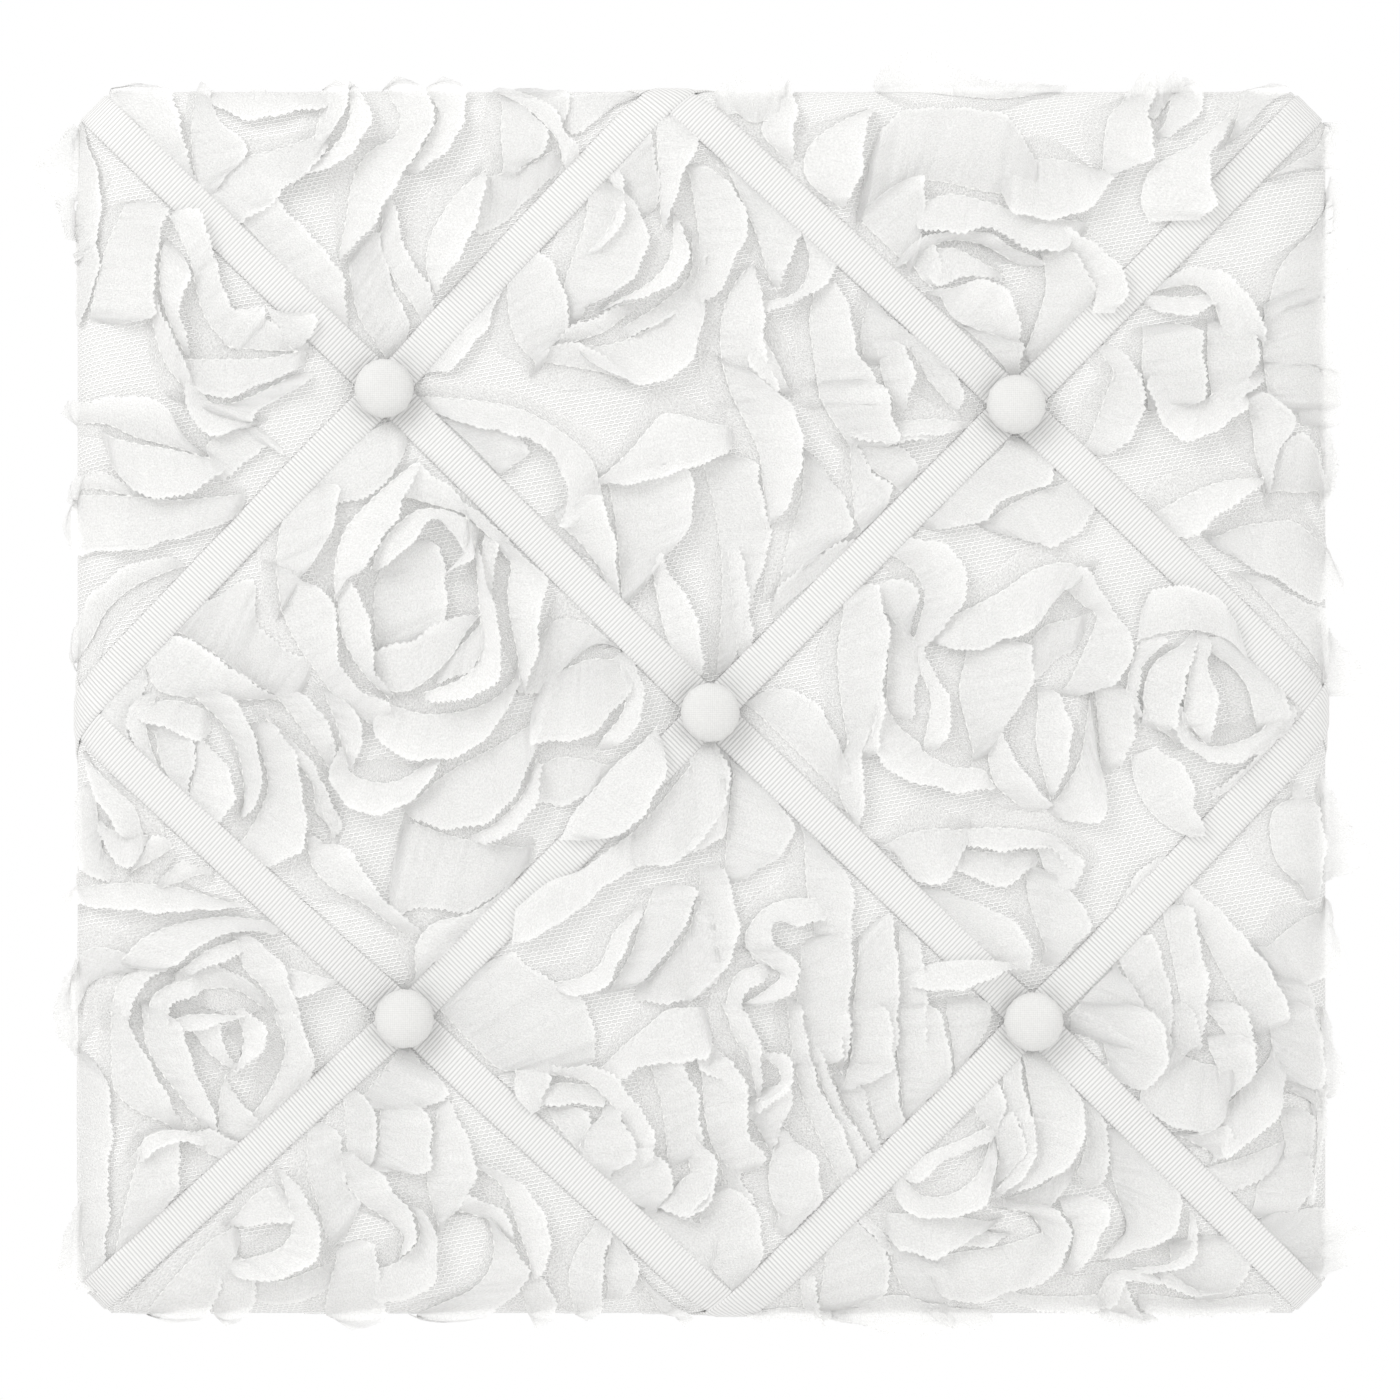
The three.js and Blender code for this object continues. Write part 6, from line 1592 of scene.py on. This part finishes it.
def petal_mesh(seam, free, low, high, seed):
    """A petal and the flat layer that its strip leaves under it. A low height below zero marks a
    petal that lies over a ribbon."""
    chance = np.random.default_rng(seed + 5)
    over = low < 0
    low, high = abs(low) * RISE, high * RISE
    traced = [from_photo(line) for line in (seam, free)]
    long_seam, long_free = [length_of(line) for line in traced]
    count = max(12, int(max(long_seam, long_free) / CHIFFON_STEP))
    seam, free = [curve_through(line, count) for line in traced]
    width = np.linalg.norm(free - seam, axis=1).mean()
    seam, free, along, shown = with_ends(seam, free, over)
    rows = max(5, int(math.hypot(width, high - low) / CHIFFON_ROW))
    share = np.linspace(0, 1, rows + 1)[:, None]
    plan = between(seam, free, share)
    out = free - seam
    out /= np.maximum(np.linalg.norm(out, axis=1)[:, None], 1e-6)

    # The pinked edge, its teeth a little uneven
    pitch = chance.uniform(*PINK_PITCH)
    tooth = 2 * np.abs((along + 0.9 * wave(along * 1.6, seed + 3)) / pitch % 1 - 0.5) - 0.5
    plan[-1] += out * (chance.uniform(*PINK_DEPTH) * tooth)[:, None]
    plan += out[None] * (EDGE_WANDER * wave(along, seed) * share**1.5)[..., None]

    # Heights: the rise from seam to edge, gathers that start at the seam, and broad ripples
    arch = ARCH_SHARE * width * np.sin(math.pi * share)
    curl = chance.uniform(*CURL) * ramp(share, 0.75, 1.0)
    height = (low + (high - low) * share**1.25 + arch + curl) * shown
    gather = np.sin(2 * math.pi * (along / GATHER_PITCH + 0.5 * wave(along, seed + 4)))
    height = height + GATHER_HEIGHT * gather * np.exp(-2.2 * share) * np.minimum(share * 6, 1)
    ripple = RIPPLE * wave(along, seed + 1) * share**1.3
    ripple = ripple + FINE_RIPPLE * wave(along * 2.3 + 6 * share, seed + 2)
    height = np.clip(height + ripple * shown, LEAST_HEIGHT, None)
    x, z = plan[..., 0], plan[..., 1]
    if over:
        beside = np.maximum(ribbon_distance(x, z) - RIBBON_WIDTH / 2, 0)
        height = np.maximum(height, LEAST_HEIGHT + OVER_RIBBON * (1 - ramp(beside, 0.5, 5)))
    else:
        height = under_ribbons(x, z, height)
    flat = np.stack(np.broadcast_arrays(along, share * width), axis=-1)
    # The rim marks the raw edge: denser cloth there, and a painted highlight in its colour.
    rim = ramp(share * width, width - 0.8, width - 0.1) * shown
    parts = [(laid_over(x, z, height, share), flat, rim, 0.0)]
    if over:
        return parts

    # The under layer runs on behind the seam, but not past where its folds would meet
    meeting = width * long_seam / max(long_free - long_seam, 1e-3)
    tuck = min(TUCK, 0.6 * meeting)
    share = np.linspace(-tuck / width, 0.4, max(3, int((tuck + 0.4 * width) / TUCK_ROW)))[:, None]
    plan, along = between(seam, free, share)[:, ::3], along[::3]
    x, z = plan[..., 0], plan[..., 1]
    bed = chance.uniform(*TUCK_LEVEL) + 0.12 * wave(along * 1.7, seed + 6) + 0 * share
    grid = laid_over(x, z, under_ribbons(x, z, np.maximum(bed, 0.1)), 0 * share)
    flat = np.stack(np.broadcast_arrays(along, share * width), axis=-1)
    return [*parts, (grid, flat, np.zeros(x.shape), 1.0)]


def make_roses():
    """Gives each petal to the rose with the nearest heart, and makes one mesh of each rose."""
    names = sorted(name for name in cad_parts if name.startswith("chiffon_rose_"))
    hearts = np.array([board_place(*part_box(name)) for name in names])
    parts = {name: [] for name in names}
    lengths = dict.fromkeys(names, 0.0)
    for k, (seam, free, low, high) in enumerate(PETALS):
        middle = from_photo(list(seam) + list(free)).mean(axis=0)
        nearest = names[int(np.argmin(np.linalg.norm(hearts - middle, axis=1)))]
        parts[nearest] += petal_mesh(seam, free, low, high, 10 * k)
        lengths[nearest] += length_of(from_photo(free))
    for name, meshes in parts.items():
        points, faces, uv, rims, under = [], [], [], [], []
        start = 0
        for grid, flat, rim, under_layer in meshes:
            points.append(grid.reshape(-1, 3))
            rims.append(rim.ravel())
            under.append(np.full(rim.size, under_layer))
            uv.append(flat.reshape(-1, 2) * MM)
            faces += grid_faces(*grid.shape[:2], start=start)
            start += rim.size
        rose = new_object(f"{name}_cloth", np.concatenate(points), faces, CHIFFON,
                          uv=np.concatenate(uv))
        for label, values in (("raw_edge_and_highlight", rims), ("under_layer", under)):
            share = rose.data.attributes.new(label, "FLOAT", "POINT")
            share.data.foreach_set("value", np.concatenate(values))
        stand_in(rose, name)


def stitch_tree():
    """Instances a short thread at even steps along each curve, laid on it, and makes them plain mesh."""
    nodes, start, end = sized_tree("tacking stitches", STITCH_SIZES)
    line = nodes.add("GeometryNodeMeshToCurve", {"Mesh": start.outputs["Geometry"]})
    steps = nodes.add("GeometryNodeResampleCurve",
                      {"Curve": line.outputs[0], "Length": start.outputs["Stitch pitch"]}, mode="LENGTH")
    thread = nodes.add("GeometryNodeMeshUVSphere", {"Segments": 6, "Rings": 5, "Radius": 0.5})
    thickness, length = start.outputs["Stitch thickness"], start.outputs["Stitch length"]
    shape = nodes.add("ShaderNodeCombineXYZ", {"X": thickness, "Y": thickness, "Z": length})
    tangent = nodes.add("GeometryNodeInputTangent")
    turn = nodes.add("FunctionNodeAlignEulerToVector", {"Vector": tangent.outputs[0]}, axis="Z")
    place = nodes.add("GeometryNodeInstanceOnPoints", {
        "Points": steps.outputs[0],
        "Instance": thread.outputs["Mesh"],
        "Rotation": turn.outputs[0],
        "Scale": shape.outputs[0],
    })
    realize = nodes.add("GeometryNodeRealizeInstances", {"Geometry": place.outputs[0]})
    finish = nodes.add("GeometryNodeSetMaterial", {"Geometry": realize.outputs[0], "Material": THREAD})
    nodes.link(finish.outputs[0], end.inputs[0])
    return nodes.tree


STITCH_SIZES = {"Stitch pitch": STITCH_PITCH * MM, "Stitch length": STITCH_LENGTH * MM,
                "Stitch thickness": STITCH_THICKNESS * MM}


def make_stitches():
    """Running stitches through the seam of every petal that is clear of the ribbons and the outline."""
    points, edges = [], []
    for seam, _, low, _ in PETALS:
        traced = from_photo(seam)
        line = curve_through(traced, max(4, int(length_of(traced) / 2)))
        x, z = line[:, 0], line[:, 1]
        clear = (ribbon_distance(x, z) > RIBBON_WIDTH / 2 + 1) & (inset_at(x, z) > 2)
        rise = under_ribbons(x, z, abs(low) + STITCH_RISE + 0 * x)
        start = len(points)
        points += laid_over(x, z, rise, 0 * x).tolist()
        edges += [(start + k, start + k + 1) for k in range(len(line) - 1) if clear[k] and clear[k + 1]]
    mesh = bpy.data.meshes.new("tacking_stitches")
    mesh.from_pydata(in_frame(points), edges, [])
    stitches = placed("tacking_stitches", mesh)
    grown(stitches, stitch_tree(), STITCH_SIZES)
    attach(stitches, "root")


# Back

def lump_share(x, z):
    """How far the felt is held off the hem: part of the way over the tails, and fully over a staple."""
    tail = np.full(np.shape(x), 1e3)
    for name, stops in RIBBONS.items():
        for stop, after in ((stops[0], ROUTES[name][1]), (stops[-1], ROUTES[name][-2])):
            point, inward, tangent, slope, tug = tail_of(stop, aim_of(stop) - after)
            inset = (x - point[0]) * inward[0] + (z - point[1]) * inward[1]
            beside = (x - point[0]) * tangent[0] + (z - point[1]) * tangent[1]
            drawn = tug * ramp(inset, -SIDE_LENGTH - DRAW_START - BEND_EXTRA, STAPLE_INSET)
            middle = slope * (BEHIND + inset) + drawn
            away = np.hypot((beside - middle) / math.hypot(1, slope), np.maximum(inset - TAIL_REACH, 0))
            tail = np.where(inset > 0, np.minimum(tail, away), tail)
    staple = np.min([np.hypot(x - p[0], z - p[1]) for p in STAPLES], axis=0)
    over_tail = 1 - ramp(tail, RIBBON_WIDTH / 2, RIBBON_WIDTH / 2 + TAIL_SLOPE)
    return np.maximum(TAIL_LUMP * over_tail, 1 - ramp(staple, *STAPLE_LUMP))


def make_back_sheet():
    """Felt cut by hand, with an eased edge, lying over the hem, the tails and their staples."""
    half_x, half_z = HALF_X - FELT_INSET, HALF_Z - FELT_INSET
    leg = CORNER_CUT - FELT_INSET * (2 - math.sqrt(2))
    upper = [(half_x, half_z - leg), (half_x - leg, half_z)]
    upper += [(-x, z) for x, z in upper[::-1]]
    corners = upper + [(-x, -z) for x, z in upper]
    outline = []
    for first, last in zip(corners, corners[1:] + corners[:1]):
        first, last = np.array(first), np.array(last)
        steps = max(2, int(np.linalg.norm(last - first) / FELT_STEP))
        outline += [first + (last - first) * k / steps for k in range(steps)]
    outline = np.array(outline)
    walked = np.arange(len(outline)) * FELT_STEP
    outline *= (1 - FELT_WANDER * (1 + wave(walked, 71)))[:, None]

    def ring(share, level):
        x, z = (outline * share).T
        laid = 1 - ramp((1 - share) * half_z, 1, FELT_LAID)
        waves = FELT_WAVES * (1 + wave(x + 0.7 * z, 72))
        sink = (-HEM_REAR - FELT_THICKNESS + waves) * laid * (1 - lump_share(x, z))
        return np.stack([x, level - sink, z], axis=1)

    shares = [0.02, 0.3, 0.55, 0.75, *np.linspace(0.85, 0.99, 20)]
    rows = [ring(share, 0.0) for share in shares]
    for angle in np.linspace(0, math.pi / 2, 4):
        inner = 1 - 0.0035 * (1 - math.sin(angle))
        rows.append(ring(inner, -FELT_EASE * (1 - math.cos(angle))))
    rows += [ring(share, -FELT_THICKNESS) for share in (1.0, *shares[::-1])]
    columns = len(outline)
    faces = grid_faces(len(rows), columns, closed=True)
    faces.append(list(range(columns)))
    faces.append([(len(rows) - 1) * columns + k for k in range(columns)])
    sheet = new_object("felt_sheet", np.concatenate(rows), faces, FELT)
    close_seams(sheet)
    stand_in(sheet, "back_sheet")


def dress_hardware():
    for name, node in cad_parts.items():
        if name.startswith(("sawtooth", "hanger", "ribbon_staple", "button_shell", "button_nail")):
            finish = STEEL
        elif name == "backing_panel":
            finish = PANEL
        else:
            continue
        for slot in node.material_slots:
            slot.material = finish


make_cover()
make_ribbons()
make_buttons()
make_roses()
make_stitches()
make_back_sheet()
dress_hardware()
